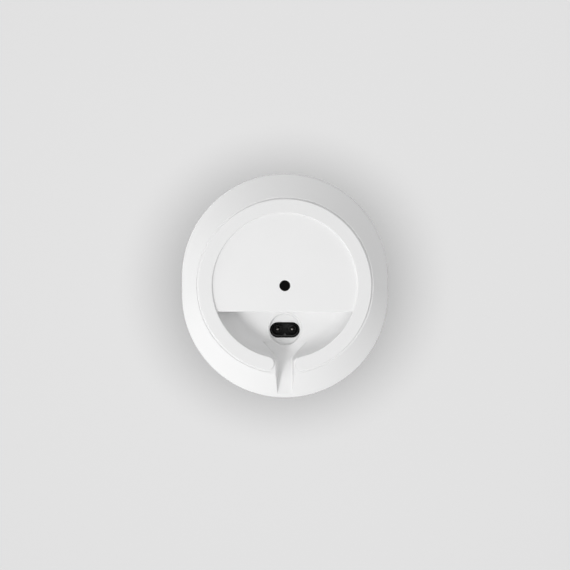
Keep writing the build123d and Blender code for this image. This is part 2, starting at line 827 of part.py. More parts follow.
# ============================================================ cabinet
cabinet_outside = cabinet_block(0, 0)
cabinet_hollow = cabinet_block(cabinet_wall, baffle_wall)
joint_low = deck_z + joint_inset
joint_high = cabinet_top - joint_inset
joint_seat = split_y + seal / 2 + case_seat
facet_out = facet_distance - arc_y * cos(radians(facet_angle))


def facet(side, depth):
    """Plane on a facet, drawn in by depth, its normal pointing out of the speaker."""
    run = facet_out - depth
    turn = radians(facet_angle)
    return Plane(
        origin=(side * run * sin(turn), -arc_y - run * cos(turn), tweeter_z),
        x_dir=(cos(turn), side * sin(turn), 0),
        z_dir=(side * sin(turn), -cos(turn), 0),
    )


with BuildPart() as cabinet:
    add(cabinet_outside)
    add(cabinet_hollow, mode=Mode.SUBTRACT)
    # posts that take the screws from the base, the cap and the rear
    with BuildSketch(Plane.XY.offset(deck_z)):
        with PolarLocations(base_screw_radius, 4, 45):
            Circle(case_post / 2)
    extrude(amount=case_length)
    with BuildSketch(Plane.XY.offset(cabinet_top)):
        with PolarLocations(cap_screw_radius, 4):
            Circle(case_post / 2)
    extrude(amount=-case_length)
    with BuildSketch(Plane.XZ.offset(-back_y)):
        with Locations((0, (joint_low + joint_high) / 2)):
            with GridLocations(2 * joint_x, joint_high - joint_low, 2, 2):
                Circle(case_post / 2)
    extrude(amount=back_y - split_y + joint_reach)
    # standoffs of the main board
    with BuildSketch(Plane.XZ.offset(-back_y)):
        with Locations((0, main_z + main_height / 2)):
            with GridLocations(main_hole_x, main_hole_z, 2, 2):
                Circle(board_post / 2)
    extrude(amount=-main_stand)
    # screw holes
    with BuildSketch(Plane.XY.offset(deck_z)):
        with PolarLocations(base_screw_radius, 4, 45):
            Circle(shank_hole)
    extrude(amount=case_length - case_seat + fit, mode=Mode.SUBTRACT)
    with BuildSketch(Plane.XY.offset(cabinet_top)):
        with PolarLocations(cap_screw_radius, 4):
            Circle(shank_hole)
    extrude(amount=-(case_length - case_seat + fit), mode=Mode.SUBTRACT)
    with BuildSketch(Plane.XZ.offset(-back_y)):
        with Locations((0, (joint_low + joint_high) / 2)):
            with GridLocations(2 * joint_x, joint_high - joint_low, 2, 2):
                Circle(head_hole)
    extrude(amount=back_y - joint_seat, mode=Mode.SUBTRACT)
    with BuildSketch(Plane.XZ.offset(-back_y)):
        with Locations((0, (joint_low + joint_high) / 2)):
            with GridLocations(2 * joint_x, joint_high - joint_low, 2, 2):
                Circle(shank_hole)
    extrude(amount=back_y - joint_seat + case_length + fit, mode=Mode.SUBTRACT)
    with BuildSketch(Plane.XZ.offset(-main_y)):
        with Locations((0, main_z + main_height / 2)):
            with GridLocations(main_hole_x, main_hole_z, 2, 2):
                Circle(board_hole)
    extrude(amount=board_length - board_thickness + fit, mode=Mode.SUBTRACT)
    # woofer's opening and screw holes
    with BuildSketch(Plane.XZ.offset(-baffle_y)):
        with Locations((0, woofer_z)):
            Circle(woofer_throat + slip)
            with PolarLocations(woofer_screw_radius, 4, 45):
                Circle(shank_hole)
    extrude(amount=-(woofer_screw_length - woofer_gasket_height - woofer_flange), mode=Mode.SUBTRACT)
    with BuildSketch(Plane.XZ.offset(-baffle_y)):
        with Locations((0, woofer_z)):
            Circle(woofer_throat + slip)
    extrude(amount=-baffle_wall, mode=Mode.SUBTRACT)
    # tweeters' openings and screw holes
    for side in (-1, 1):
        with BuildSketch(facet(side, 0)):
            Circle(horn_barrel + fit)
            with GridLocations(horn_hole_x, horn_hole_z, 2, 2):
                Circle(tweeter_shank / 2 + fit)
        extrude(amount=-cabinet_wall, mode=Mode.SUBTRACT)

with BuildPart() as cabinet_front:
    add(cabinet.part)
    split(bisect_by=Plane.XZ.offset(-(split_y - seal / 2)), keep=Keep.TOP)
cabinet_front.part.label = "cabinet_front"
export_step(cabinet_front.part, "parts/cabinet_front.step")

with BuildPart() as cabinet_rear:
    add(cabinet.part)
    split(bisect_by=Plane.XZ.offset(-(split_y + seal / 2)), keep=Keep.BOTTOM)
cabinet_rear.part.label = "cabinet_rear"
export_step(cabinet_rear.part, "parts/cabinet_rear.step")

with BuildPart() as cabinet_gasket:
    add(cabinet.part)
    split(bisect_by=Plane.XZ.offset(-(split_y - seal / 2)), keep=Keep.BOTTOM)
    split(bisect_by=Plane.XZ.offset(-(split_y + seal / 2)), keep=Keep.TOP)
cabinet_gasket.part.label = "cabinet_gasket"
export_step(cabinet_gasket.part, "parts/cabinet_gasket.step")

# ============================================================ woofer
woofer_section = Plane(origin=(0, baffle_y, woofer_z), x_dir=(1, 0, 0), z_dir=(0, 0, -1))
woofer_axis = Axis((0, baffle_y, woofer_z), (0, -1, 0))
seat_w = woofer_gasket_height + woofer_flange
roll_outer = cone_radius + 2 * roll_radius
roll_mid = cone_radius + roll_radius
foot_w = woofer_gasket_height - basket_depth
ring_w = foot_w + basket_sheet
ring_hole = coil_radius + coil_winding + coil_gap + 3.6
pole_radius = coil_radius - coil_former - coil_gap
magnet_front = foot_w - top_plate_thickness
yoke_front = magnet_front - magnet_thickness
cone_neck = seat_w - cone_depth

with BuildPart() as woofer_gasket:
    with BuildSketch(Plane.XZ.offset(-baffle_y)):
        with Locations((0, woofer_z)):
            Circle(woofer_radius)
            Circle(woofer_throat + slip, mode=Mode.SUBTRACT)
            with PolarLocations(woofer_screw_radius, 4, 45):
                Circle(shank_hole, mode=Mode.SUBTRACT)
    extrude(amount=woofer_gasket_height)
woofer_gasket.part.label = "woofer_gasket"
export_step(woofer_gasket.part, "parts/woofer_gasket.step")

with BuildPart() as woofer_basket:
    with BuildSketch(woofer_section):
        with BuildLine():
            Polyline(
                (woofer_radius, woofer_gasket_height),
                (woofer_radius, seat_w),
                (roll_outer + 0.6, seat_w),
                (roll_outer + 0.6, woofer_gasket_height),
                (basket_foot - basket_sheet, ring_w + 2),
                (basket_foot - basket_sheet, ring_w),
                (ring_hole, ring_w),
                (ring_hole, foot_w),
                (basket_foot, foot_w),
                (basket_foot, ring_w + 1.5),
                (woofer_throat, woofer_gasket_height),
                (woofer_radius, woofer_gasket_height),
            )
        make_face()
    revolve(axis=woofer_axis)
    with BuildSketch(Plane.XZ.offset(-(baffle_y - ring_w - 4))):
        with Locations((0, woofer_z)):
            with PolarLocations(basket_foot, 6):
                RectangleRounded(2 * (woofer_throat - basket_foot) + 4, basket_window, 1.5)
    extrude(amount=woofer_gasket_height - ring_w - 9, mode=Mode.SUBTRACT)
    with BuildSketch(Plane.XZ.offset(-(baffle_y - woofer_gasket_height))):
        with Locations((0, woofer_z)):
            with PolarLocations(woofer_screw_radius, 4, 45):
                Circle(shank_hole)
    extrude(amount=woofer_flange, mode=Mode.SUBTRACT)
woofer_basket.part.label = "woofer_basket"
export_step(woofer_basket.part, "parts/woofer_basket.step")

with BuildPart() as woofer_surround:
    with BuildSketch(woofer_section):
        with BuildLine():
            Polyline(
                (roll_outer - surround_sheet, seat_w + surround_sheet),
                (roll_outer - surround_sheet, seat_w),
                (roll_outer + surround_land, seat_w),
                (roll_outer + surround_land, seat_w + surround_sheet),
                (roll_outer, seat_w + surround_sheet),
            )
            CenterArc((roll_mid, seat_w + surround_sheet), roll_radius, 0, 180)
            Polyline(
                (cone_radius, seat_w + surround_sheet),
                (cone_radius - cone_land, seat_w + surround_sheet),
                (cone_radius - cone_land, seat_w),
                (cone_radius + surround_sheet, seat_w),
                (cone_radius + surround_sheet, seat_w + surround_sheet),
            )
            CenterArc((roll_mid, seat_w + surround_sheet), roll_radius - surround_sheet, 0, 180)
        make_face()
    revolve(axis=woofer_axis)
woofer_surround.part.label = "woofer_surround"
export_step(woofer_surround.part, "parts/woofer_surround.step")

with BuildPart() as woofer_cone:
    with BuildSketch(woofer_section):
        with BuildLine():
            Polyline(
                (cone_radius, seat_w),
                (cone_radius - cone_land, seat_w),
                (coil_radius + fit / 2, cone_neck),
                (coil_radius + fit / 2, cone_neck - 1.2),
                (coil_radius + fit / 2 + cone_sheet, cone_neck - 1.2),
                (cone_radius - cone_land + cone_sheet, seat_w - cone_sheet),
                (cone_radius, seat_w - cone_sheet),
                (cone_radius, seat_w),
            )
        make_face()
    revolve(axis=woofer_axis)
woofer_cone.part.label = "woofer_cone"
export_step(woofer_cone.part, "parts/woofer_cone.step")

cap_edge = coil_radius + cap_margin
cap_slope = cone_depth / (cone_radius - cone_land - coil_radius)
cap_w = cone_neck + cap_margin * cap_slope + fit


def dome(edge, rise, sheet, low):
    """Profile of a spherical dome on the axis, standing on its edge at height low."""
    ball = (edge**2 + rise**2) / (2 * rise)
    inner_edge = sqrt((ball - sheet) ** 2 - (ball - rise) ** 2)
    outer_turn = degrees(asin(edge / ball))
    inner_turn = degrees(asin(inner_edge / (ball - sheet)))
    CenterArc((0, low + rise - ball), ball, 90 - outer_turn, outer_turn)
    Line((0, low + rise), (0, low + rise - sheet))
    CenterArc((0, low + rise - ball), ball - sheet, 90 - inner_turn, inner_turn)
    return inner_edge


with BuildPart() as woofer_dust_cap:
    with BuildSketch(woofer_section):
        with BuildLine():
            inner_edge = dome(cap_edge, cap_dome, cone_sheet, cap_w)
            Line((inner_edge, cap_w), (cap_edge, cap_w))
        make_face()
    revolve(axis=woofer_axis)
woofer_dust_cap.part.label = "woofer_dust_cap"
export_step(woofer_dust_cap.part, "parts/woofer_dust_cap.step")

coil_top = cone_neck
with BuildPart() as woofer_coil:
    with BuildSketch(Plane.XZ.offset(-(baffle_y - coil_top))):
        with Locations((0, woofer_z)):
            Circle(coil_radius)
            Circle(coil_radius - coil_former, mode=Mode.SUBTRACT)
    extrude(amount=-coil_length)
    with BuildSketch(Plane.XZ.offset(-(baffle_y - coil_top + coil_length))):
        with Locations((0, woofer_z)):
            Circle(coil_radius + coil_winding)
            Circle(coil_radius - coil_former, mode=Mode.SUBTRACT)
    extrude(amount=winding_length)
woofer_coil.part.label = "woofer_coil"
export_step(woofer_coil.part, "parts/woofer_coil.step")

spider_sheet = 0.4
wave_low = ring_w + spider_sheet + 0.4
wave_high = wave_low + 1.6
spider_outer = basket_foot - basket_sheet - fit
spider_inner = coil_radius + fit
wave = (spider_outer - 4 - spider_inner) / 6
with BuildPart() as woofer_spider:
    with BuildSketch(woofer_section):
        with BuildLine():
            Polyline(
                (spider_outer, ring_w),
                (spider_outer, ring_w + spider_sheet),
                (spider_outer - 3, ring_w + spider_sheet),
                (spider_outer - 4 - wave, wave_high),
                (spider_outer - 4 - 2 * wave, wave_low),
                (spider_outer - 4 - 3 * wave, wave_high),
                (spider_outer - 4 - 4 * wave, wave_low),
                (spider_outer - 4 - 5 * wave, wave_high),
                (spider_inner, wave_high),
                (spider_inner, wave_high - spider_sheet),
                (spider_outer - 4 - 5 * wave, wave_high - spider_sheet),
                (spider_outer - 4 - 4 * wave, wave_low - spider_sheet),
                (spider_outer - 4 - 3 * wave, wave_high - spider_sheet),
                (spider_outer - 4 - 2 * wave, wave_low - spider_sheet),
                (spider_outer - 4 - wave, wave_high - spider_sheet),
                (spider_outer - 3, ring_w),
                (spider_outer, ring_w),
            )
        make_face()
    revolve(axis=woofer_axis)
woofer_spider.part.label = "woofer_spider"
export_step(woofer_spider.part, "parts/woofer_spider.step")

with BuildPart() as woofer_top_plate:
    with BuildSketch(Plane.XZ.offset(-(baffle_y - foot_w))):
        with Locations((0, woofer_z)):
            Circle(basket_foot)
            Circle(coil_radius + coil_winding + coil_gap, mode=Mode.SUBTRACT)
    extrude(amount=-top_plate_thickness)
woofer_top_plate.part.label = "woofer_top_plate"
export_step(woofer_top_plate.part, "parts/woofer_top_plate.step")

with BuildPart() as woofer_magnet:
    with BuildSketch(Plane.XZ.offset(-(baffle_y - magnet_front))):
        with Locations((0, woofer_z)):
            Circle(magnet_radius)
            Circle(magnet_bore, mode=Mode.SUBTRACT)
    extrude(amount=-magnet_thickness)
woofer_magnet.part.label = "woofer_magnet"
export_step(woofer_magnet.part, "parts/woofer_magnet.step")

with BuildPart() as woofer_yoke:
    with BuildSketch(Plane.XZ.offset(-(baffle_y - yoke_front))):
        with Locations((0, woofer_z)):
            Circle(yoke_radius)
    extrude(amount=-yoke_thickness)
    with BuildSketch(Plane.XZ.offset(-(baffle_y - yoke_front))):
        with Locations((0, woofer_z)):
            Circle(pole_radius)
    extrude(amount=foot_w - yoke_front)
    with BuildSketch(Plane.XZ.offset(-(baffle_y - foot_w))):
        with Locations((0, woofer_z)):
            Circle(vent_diameter / 2)
    extrude(amount=-(foot_w - yoke_front + yoke_thickness), mode=Mode.SUBTRACT)
woofer_yoke.part.label = "woofer_yoke"
export_step(woofer_yoke.part, "parts/woofer_yoke.step")

# ============================================================ tweeters
for side, hand in ((-1, "left"), (1, "right")):
    cut = facet(side, 0)
    along = Plane(origin=cut.origin, x_dir=cut.x_dir, z_dir=cut.z_dir.cross(cut.x_dir) * -1)
    axis = Axis(cut.origin, cut.z_dir)

    with BuildPart() as tweeter_horn:
        with BuildSketch(cut):
            RectangleRounded(horn_length, horn_height, 4)
        extrude(amount=horn_thickness)
        chamfer(tweeter_horn.faces().sort_by(Axis(cut.origin, cut.z_dir))[-1].outer_wire().edges(), 0.6)
        with BuildSketch(cut):
            Circle(horn_barrel)
        extrude(amount=-barrel_depth)
        with BuildSketch(cut.offset(-barrel_depth)):
            Circle(horn_throat)
        extrude(amount=barrel_depth + horn_thickness, mode=Mode.SUBTRACT)
        with BuildSketch(cut.offset(-0.5)):
            Circle(horn_throat)
        with BuildSketch(cut.offset(horn_thickness)):
            Circle(horn_mouth)
        loft(mode=Mode.SUBTRACT)
        with BuildSketch(cut):
            with GridLocations(horn_hole_x, horn_hole_z, 2, 2):
                Circle(tweeter_shank / 2 + fit)
        extrude(amount=horn_thickness, mode=Mode.SUBTRACT)
        with BuildSketch(cut.offset(horn_thickness)):
            with GridLocations(horn_hole_x, horn_hole_z, 2, 2):
                Circle(tweeter_head / 2 + fit)
        extrude(amount=-tweeter_head_height, mode=Mode.SUBTRACT)
    tweeter_horn.part.label = f"tweeter_horn_{hand}"
    export_step(tweeter_horn.part, f"parts/tweeter_horn_{hand}.step")

    with BuildPart() as tweeter_dome:
        with BuildSketch(along):
            with BuildLine():
                inner_edge = dome(dome_radius, dome_rise, dome_sheet, -dome_back)
                Polyline(
                    (inner_edge, -dome_back),
                    (inner_edge, -dome_back - dome_former),
                    (dome_radius, -dome_back - dome_former),
                    (dome_radius, -dome_back),
                )
            make_face()
        revolve(axis=axis)
    tweeter_dome.part.label = f"tweeter_dome_{hand}"
    export_step(tweeter_dome.part, f"parts/tweeter_dome_{hand}.step")

    with BuildPart() as tweeter_motor:
        with BuildSketch(cut.offset(-barrel_depth)):
            Circle(horn_barrel)
        extrude(amount=-motor_length)
        with BuildSketch(cut.offset(-barrel_depth)):
            Circle(dome_radius + groove_side)
            Circle(dome_radius - 2 * dome_sheet - groove_side, mode=Mode.SUBTRACT)
        extrude(amount=-motor_groove, mode=Mode.SUBTRACT)
    tweeter_motor.part.label = f"tweeter_motor_{hand}"
    export_step(tweeter_motor.part, f"parts/tweeter_motor_{hand}.step")

# ============================================================ electronics
with BuildPart() as psu_board:
    with BuildSketch(Plane.XY.offset(psu_z)):
        with Locations((0, psu_y)):
            RectangleRounded(psu_length, psu_width, 2)
        with Locations((0, psu_tab_reach - psu_width / 4)):
            RectangleRounded(psu_tab_width, psu_width / 2, 2)
        with Locations((0, psu_y)):
            with GridLocations(psu_hole_x, psu_hole_y, 2, 2):
                Circle(board_hole, mode=Mode.SUBTRACT)
        with Locations((0, inlet_y)):
            with GridLocations(pin_pitch, 1, 2, 1):
                Circle(pin_diameter / 2 + fit, mode=Mode.SUBTRACT)
    extrude(amount=board_thickness)
psu_board.part.label = "psu_board"
export_step(psu_board.part, "parts/psu_board.step")

with BuildPart() as psu_transformer:
    with BuildSketch(Plane.XY.offset(psu_z)):
        with Locations((-transformer_size / 2 - 3, -transformer_size / 4)):
            RectangleRounded(transformer_size, transformer_size, 1)
    extrude(amount=-3)
    with BuildSketch(Plane.XY.offset(psu_z - 3)):
        with Locations((-transformer_size / 2 - 3, -transformer_size / 4)):
            RectangleRounded(transformer_size - 3, transformer_size - 3, 3)
    extrude(amount=6 - transformer_height)
    with BuildSketch(Plane.XY.offset(psu_z - transformer_height + 3)):
        with Locations((-transformer_size / 2 - 3, -transformer_size / 4)):
            RectangleRounded(transformer_size, transformer_size, 1)
    extrude(amount=-3)
psu_transformer.part.label = "psu_transformer"
export_step(psu_transformer.part, "parts/psu_transformer.step")

with BuildPart() as psu_capacitors:
    with BuildSketch(Plane.XY.offset(psu_z)):
        with Locations((capacitor_diameter * 0.87, -capacitor_diameter * 0.9)):
            Circle(capacitor_diameter / 2)
        with Locations((capacitor_diameter * 1.9, -capacitor_diameter * 0.75)):
            Circle(capacitor_diameter / 2)
    extrude(amount=-capacitor_height)
    chamfer(psu_capacitors.edges().group_by(Axis.Z)[0], 0.8)
psu_capacitors.part.label = "psu_capacitors"
export_step(psu_capacitors.part, "parts/psu_capacitors.step")

with BuildPart() as psu_choke:
    with BuildSketch(Plane.XY.offset(psu_z)):
        with Locations((capacitor_diameter * 1.5, choke_diameter / 4)):
            Circle(choke_diameter / 2)
            Circle(choke_diameter / 5, mode=Mode.SUBTRACT)
    extrude(amount=-choke_height)
    fillet(psu_choke.edges().group_by(Axis.Z)[0], 1)
psu_choke.part.label = "psu_choke"
export_step(psu_choke.part, "parts/psu_choke.step")

main_back = main_y + board_thickness
main_mid = main_z + main_height / 2
with BuildPart() as main_board:
    with BuildSketch(Plane.XZ.offset(-main_y)):
        with Locations((0, main_mid)):
            RectangleRounded(main_width, main_height, 2)
            with GridLocations(main_hole_x, main_hole_z, 2, 2):
                Circle(board_hole, mode=Mode.SUBTRACT)
    extrude(amount=-board_thickness)
main_board.part.label = "main_board"
export_step(main_board.part, "parts/main_board.step")

chip_z = main_mid + 4
with BuildPart() as main_chips:
    with BuildSketch(Plane.XZ.offset(-main_back)):
        with Locations((-chip_size / 2 - 2, chip_z)):
            Rectangle(chip_size, chip_size)
        with Locations((chip_size / 2 + 2, chip_z)):
            Rectangle(chip_size * 0.6, chip_size * 0.75)
    extrude(amount=-chip_height)
    with BuildSketch(Plane.XZ.offset(-main_back)):
        with Locations((0, chip_z - spreader_width / 2 - inductor_size)):
            with GridLocations(inductor_size * 1.5, 1, 4, 1):
                RectangleRounded(inductor_size, inductor_size, 1)
    extrude(amount=-inductor_height)
main_chips.part.label = "main_chips"
export_step(main_chips.part, "parts/main_chips.step")

with BuildPart() as heat_spreader:
    with BuildSketch(Plane.XZ.offset(-main_back - chip_height)):
        with Locations((0, chip_z)):
            RectangleRounded(spreader_length, spreader_width, 1.5)
    extrude(amount=-spreader_thickness)
heat_spreader.part.label = "heat_spreader"
export_step(heat_spreader.part, "parts/heat_spreader.step")

shield_z = chip_z + spreader_width / 2 + shield_width / 2 + 1
with BuildPart() as radio_shield:
    with BuildSketch(Plane.XZ.offset(-main_back)):
        with Locations((0, shield_z)):
            RectangleRounded(shield_length, shield_width, 1)
    extrude(amount=-shield_height)
    fillet(radio_shield.edges().group_by(Axis.Y)[-1], 0.4)
radio_shield.part.label = "radio_shield"
export_step(radio_shield.part, "parts/radio_shield.step")

for side, hand in ((-1, "left"), (1, "right")):
    with BuildPart() as antenna:
        with BuildSketch(Plane.YZ.offset(side * (body_width / 2 - cabinet_inset))):
            with Locations((0, cabinet_top - 4 - antenna_length / 2)):
                Rectangle(antenna_width, antenna_length)
        extrude(amount=side * antenna_thickness)
    antenna.part.label = f"antenna_{hand}"
    export_step(antenna.part, f"parts/antenna_{hand}.step")

lead_y = main_back + ribbon_thickness
with BuildPart() as top_ribbon:
    with BuildSketch(Plane.YZ):
        with BuildLine():
            Polyline(
                (touch_board_radius - 4, touch_top),
                (touch_board_radius - 4, touch_top + ribbon_thickness),
                (lead_y + ribbon_thickness, touch_top + ribbon_thickness),
                (lead_y + ribbon_thickness, main_z + main_height - 5),
                (lead_y, main_z + main_height - 5),
                (lead_y, touch_top),
                (touch_board_radius - 4, touch_top),
            )
        make_face()
    extrude(amount=ribbon_width / 2, both=True)
top_ribbon.part.label = "top_ribbon"
export_step(top_ribbon.part, "parts/top_ribbon.step")

with BuildPart() as power_lead:
    with BuildSketch(Plane.YZ):
        with BuildLine():
            Polyline(
                (psu_tab_reach - 6, psu_z + board_thickness),
                (lead_y + ribbon_thickness, psu_z + board_thickness),
                (lead_y + ribbon_thickness, main_z + 5),
                (lead_y, main_z + 5),
                (lead_y, psu_z + board_thickness + ribbon_thickness),
                (psu_tab_reach - 6, psu_z + board_thickness + ribbon_thickness),
                (psu_tab_reach - 6, psu_z + board_thickness),
            )
        make_face()
    extrude(amount=ribbon_width / 2, both=True)
power_lead.part.label = "power_lead"
export_step(power_lead.part, "parts/power_lead.step")

# ============================================================ screws
base_row = (deck_z - case_seat, 1, base_screw_radius, 45)
cap_row = (cabinet_top + case_seat, -1, cap_screw_radius, 0)
with BuildPart() as case_screws:
    for seat, reach, circle, turn in (base_row, cap_row):
        with BuildSketch(Plane.XY.offset(seat)):
            with PolarLocations(circle, 4, turn):
                Circle(case_shank / 2)
        extrude(amount=reach * case_length)
        with BuildSketch(Plane.XY.offset(seat)):
            with PolarLocations(circle, 4, turn):
                Circle(case_head / 2)
        extrude(amount=-reach * case_head_height)
        with BuildSketch(Plane.XY.offset(seat - reach * case_head_height)):
            with PolarLocations(circle, 4, turn):
                RegularPolygon(1.2, 6)
        extrude(amount=reach * 1.2, mode=Mode.SUBTRACT)
    with BuildSketch(Plane.XZ.offset(-joint_seat)):
        with Locations((0, (joint_low + joint_high) / 2)):
            with GridLocations(2 * joint_x, joint_high - joint_low, 2, 2):
                Circle(case_shank / 2)
    extrude(amount=case_length)
    with BuildSketch(Plane.XZ.offset(-joint_seat)):
        with Locations((0, (joint_low + joint_high) / 2)):
            with GridLocations(2 * joint_x, joint_high - joint_low, 2, 2):
                Circle(case_head / 2)
    extrude(amount=-case_head_height)
    with BuildSketch(Plane.XZ.offset(-joint_seat - case_head_height)):
        with Locations((0, (joint_low + joint_high) / 2)):
            with GridLocations(2 * joint_x, joint_high - joint_low, 2, 2):
                RegularPolygon(1.2, 6)
    extrude(amount=1.2, mode=Mode.SUBTRACT)
case_screws.part.label = "case_screws"
export_step(case_screws.part, "parts/case_screws.step")

with BuildPart() as woofer_screws:
    with BuildSketch(Plane.XZ.offset(-(baffle_y - seat_w))):
        with Locations((0, woofer_z)):
            with PolarLocations(woofer_screw_radius, 4, 45):
                Circle(case_head / 2 - 2 * fit)
    extrude(amount=board_head_height)
    with BuildSketch(Plane.XZ.offset(-(baffle_y - seat_w))):
        with Locations((0, woofer_z)):
            with PolarLocations(woofer_screw_radius, 4, 45):
                Circle(case_shank / 2)
    extrude(amount=-(woofer_screw_length - fit))
    with BuildSketch(Plane.XZ.offset(-(baffle_y - seat_w - board_head_height))):
        with Locations((0, woofer_z)):
            with PolarLocations(woofer_screw_radius, 4, 45):
                RegularPolygon(1.1, 6)
    extrude(amount=-1, mode=Mode.SUBTRACT)
woofer_screws.part.label = "woofer_screws"
export_step(woofer_screws.part, "parts/woofer_screws.step")

with BuildPart() as tweeter_screws:
    for side in (-1, 1):
        with BuildSketch(facet(side, 0).offset(horn_thickness)):
            with GridLocations(horn_hole_x, horn_hole_z, 2, 2):
                Circle(tweeter_head / 2)
        extrude(amount=-tweeter_head_height)
        with BuildSketch(facet(side, 0).offset(horn_thickness - tweeter_head_height)):
            with GridLocations(horn_hole_x, horn_hole_z, 2, 2):
                Circle(tweeter_shank / 2)
        extrude(amount=-(tweeter_screw_length - tweeter_head_height))
tweeter_screws.part.label = "tweeter_screws"
export_step(tweeter_screws.part, "parts/tweeter_screws.step")

with BuildPart() as board_screws:
    with BuildSketch(Plane.XY.offset(psu_z + board_thickness)):
        with Locations((0, psu_y)):
            with GridLocations(psu_hole_x, psu_hole_y, 2, 2):
                Circle(board_head / 2)
    extrude(amount=board_head_height)
    with BuildSketch(Plane.XY.offset(psu_z + board_thickness)):
        with Locations((0, psu_y)):
            with GridLocations(psu_hole_x, psu_hole_y, 2, 2):
                Circle(board_shank / 2)
    extrude(amount=-board_length)
    with BuildSketch(Plane.XZ.offset(-main_back)):
        with Locations((0, main_mid)):
            with GridLocations(main_hole_x, main_hole_z, 2, 2):
                Circle(board_head / 2)
    extrude(amount=-board_head_height)
    with BuildSketch(Plane.XZ.offset(-main_back)):
        with Locations((0, main_mid)):
            with GridLocations(main_hole_x, main_hole_z, 2, 2):
                Circle(board_shank / 2)
    extrude(amount=board_length)
    with BuildSketch(Plane.XZ.offset(-io_y)):
        with Locations((0, io_bottom + io_height / 2)):
            with GridLocations(io_hole_x, io_hole_z, 2, 2):
                Circle(board_head / 2)
    extrude(amount=board_head_height)
    with BuildSketch(Plane.XZ.offset(-io_y)):
        with Locations((0, io_bottom + io_height / 2)):
            with GridLocations(io_hole_x, io_hole_z, 2, 2):
                Circle(board_shank / 2)
    extrude(amount=-board_length)
board_screws.part.label = "board_screws"
export_step(board_screws.part, "parts/board_screws.step")
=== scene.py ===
import json
from math import asin, copysign, cos, pi, radians, sin

import bmesh
import bpy
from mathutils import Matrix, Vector


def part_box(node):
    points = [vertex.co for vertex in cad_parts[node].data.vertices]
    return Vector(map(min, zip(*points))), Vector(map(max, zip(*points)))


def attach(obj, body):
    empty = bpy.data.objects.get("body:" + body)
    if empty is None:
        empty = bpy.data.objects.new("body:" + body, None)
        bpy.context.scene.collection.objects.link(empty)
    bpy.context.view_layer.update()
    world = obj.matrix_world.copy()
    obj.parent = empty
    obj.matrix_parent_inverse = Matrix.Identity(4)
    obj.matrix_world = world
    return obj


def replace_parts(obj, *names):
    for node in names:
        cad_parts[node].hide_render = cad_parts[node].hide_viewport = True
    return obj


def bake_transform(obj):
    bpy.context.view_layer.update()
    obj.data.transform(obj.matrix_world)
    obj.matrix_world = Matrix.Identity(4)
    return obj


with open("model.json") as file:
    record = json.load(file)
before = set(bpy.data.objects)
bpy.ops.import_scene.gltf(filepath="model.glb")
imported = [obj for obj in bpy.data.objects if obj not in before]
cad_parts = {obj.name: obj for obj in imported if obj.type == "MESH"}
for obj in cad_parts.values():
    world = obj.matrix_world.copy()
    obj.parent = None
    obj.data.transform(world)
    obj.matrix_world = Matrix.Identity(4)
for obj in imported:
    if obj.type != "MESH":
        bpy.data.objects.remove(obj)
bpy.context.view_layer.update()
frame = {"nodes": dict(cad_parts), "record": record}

nodes = frame["nodes"]
mm = 0.001


# ============================================================ sizes, read from the frame
def low(name):
    """Lowest corner of a CAD node, in metres."""
    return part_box(name)[0]


def high(name):
    """Highest corner of a CAD node, in metres."""
    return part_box(name)[1]


half_width = high("base_shell").x
half_depth = high("base_shell").y
side_flat = 2 * (half_depth - half_width)
top = high("top_cap").z
seam = low("grille_wrap").z
cap_seam = high("grille_wrap").z
spine_half = high("rear_spine").x
inlet_y = (low("inlet_pins").y + high("inlet_pins").y) / 2
pocket_roof = low("inlet_body").z
pin_radius = (high("inlet_pins").y - low("inlet_pins").y) / 2
pin_x = high("inlet_pins").x - pin_radius
# foot: the seat fills the groove, and the pad on it is narrower outside and wider inside
foot_width = 8.7 * mm
foot_gap = 12.0 * mm
foot_sunk = 0.7 * mm
seat_sunk = 0.3 * mm
seat_spread = 0.09 * mm
pad_step = 0.85 * mm
pad_spread = 0.3 * mm
pad_round = 0.45 * mm
# stand thread, 1/4 inch by 20 turns an inch
thread_radius = 6.35 / 2 * mm
thread_pitch = 1.27 * mm
# inlet: an opening with round ends, in a round pocket
opening_y = inlet_y + 0.32 * mm
inlet_half = 4.55 * mm
inlet_run = 4.25 * mm
inlet_depth = 11.0 * mm
pocket_radius = 9.5 * mm
pocket_depth = 2.5 * mm
# grille: staggered holes, with plain strips at its ends and seams, just inside the base's outline
grille_inset = 0.05 * mm
hole_radius = 0.78 * mm
hole_columns = 136
band_pairs = (12, 11, 11)
plain_strip = 2.4 * mm
grille_wall = 1.6 * mm


# ============================================================ shader building
def put(tree, kind, **settings):
    """New shader node. A setting is one of its properties or, with a capital, one of its sockets."""
    made = tree.nodes.new("ShaderNode" + kind)
    for key, value in settings.items():
        if key[0].islower():
            setattr(made, key, value)
            continue
        socket = made.inputs[key.replace("_", " ")]
        if isinstance(value, bpy.types.NodeSocket):
            tree.links.new(value, socket)
        else:
            socket.default_value = value
    return made


def maths(tree, operation, *values):
    """Math node's result, from numbers or sockets."""
    made = tree.nodes.new("ShaderNodeMath")
    made.operation = operation
    for socket, value in zip(made.inputs, values):
        if isinstance(value, bpy.types.NodeSocket):
            tree.links.new(value, socket)
        else:
            socket.default_value = value
    return made.outputs[0]


def tinted(tree, factor, dark, light):
    """Colour between two, by a factor."""
    made = tree.nodes.new("ShaderNodeMix")
    made.data_type = "RGBA"
    for index, value in ((0, factor), (6, dark), (7, light)):
        if isinstance(value, bpy.types.NodeSocket):
            tree.links.new(value, made.inputs[index])
        else:
            made.inputs[index].default_value = value
    return made.outputs[2]


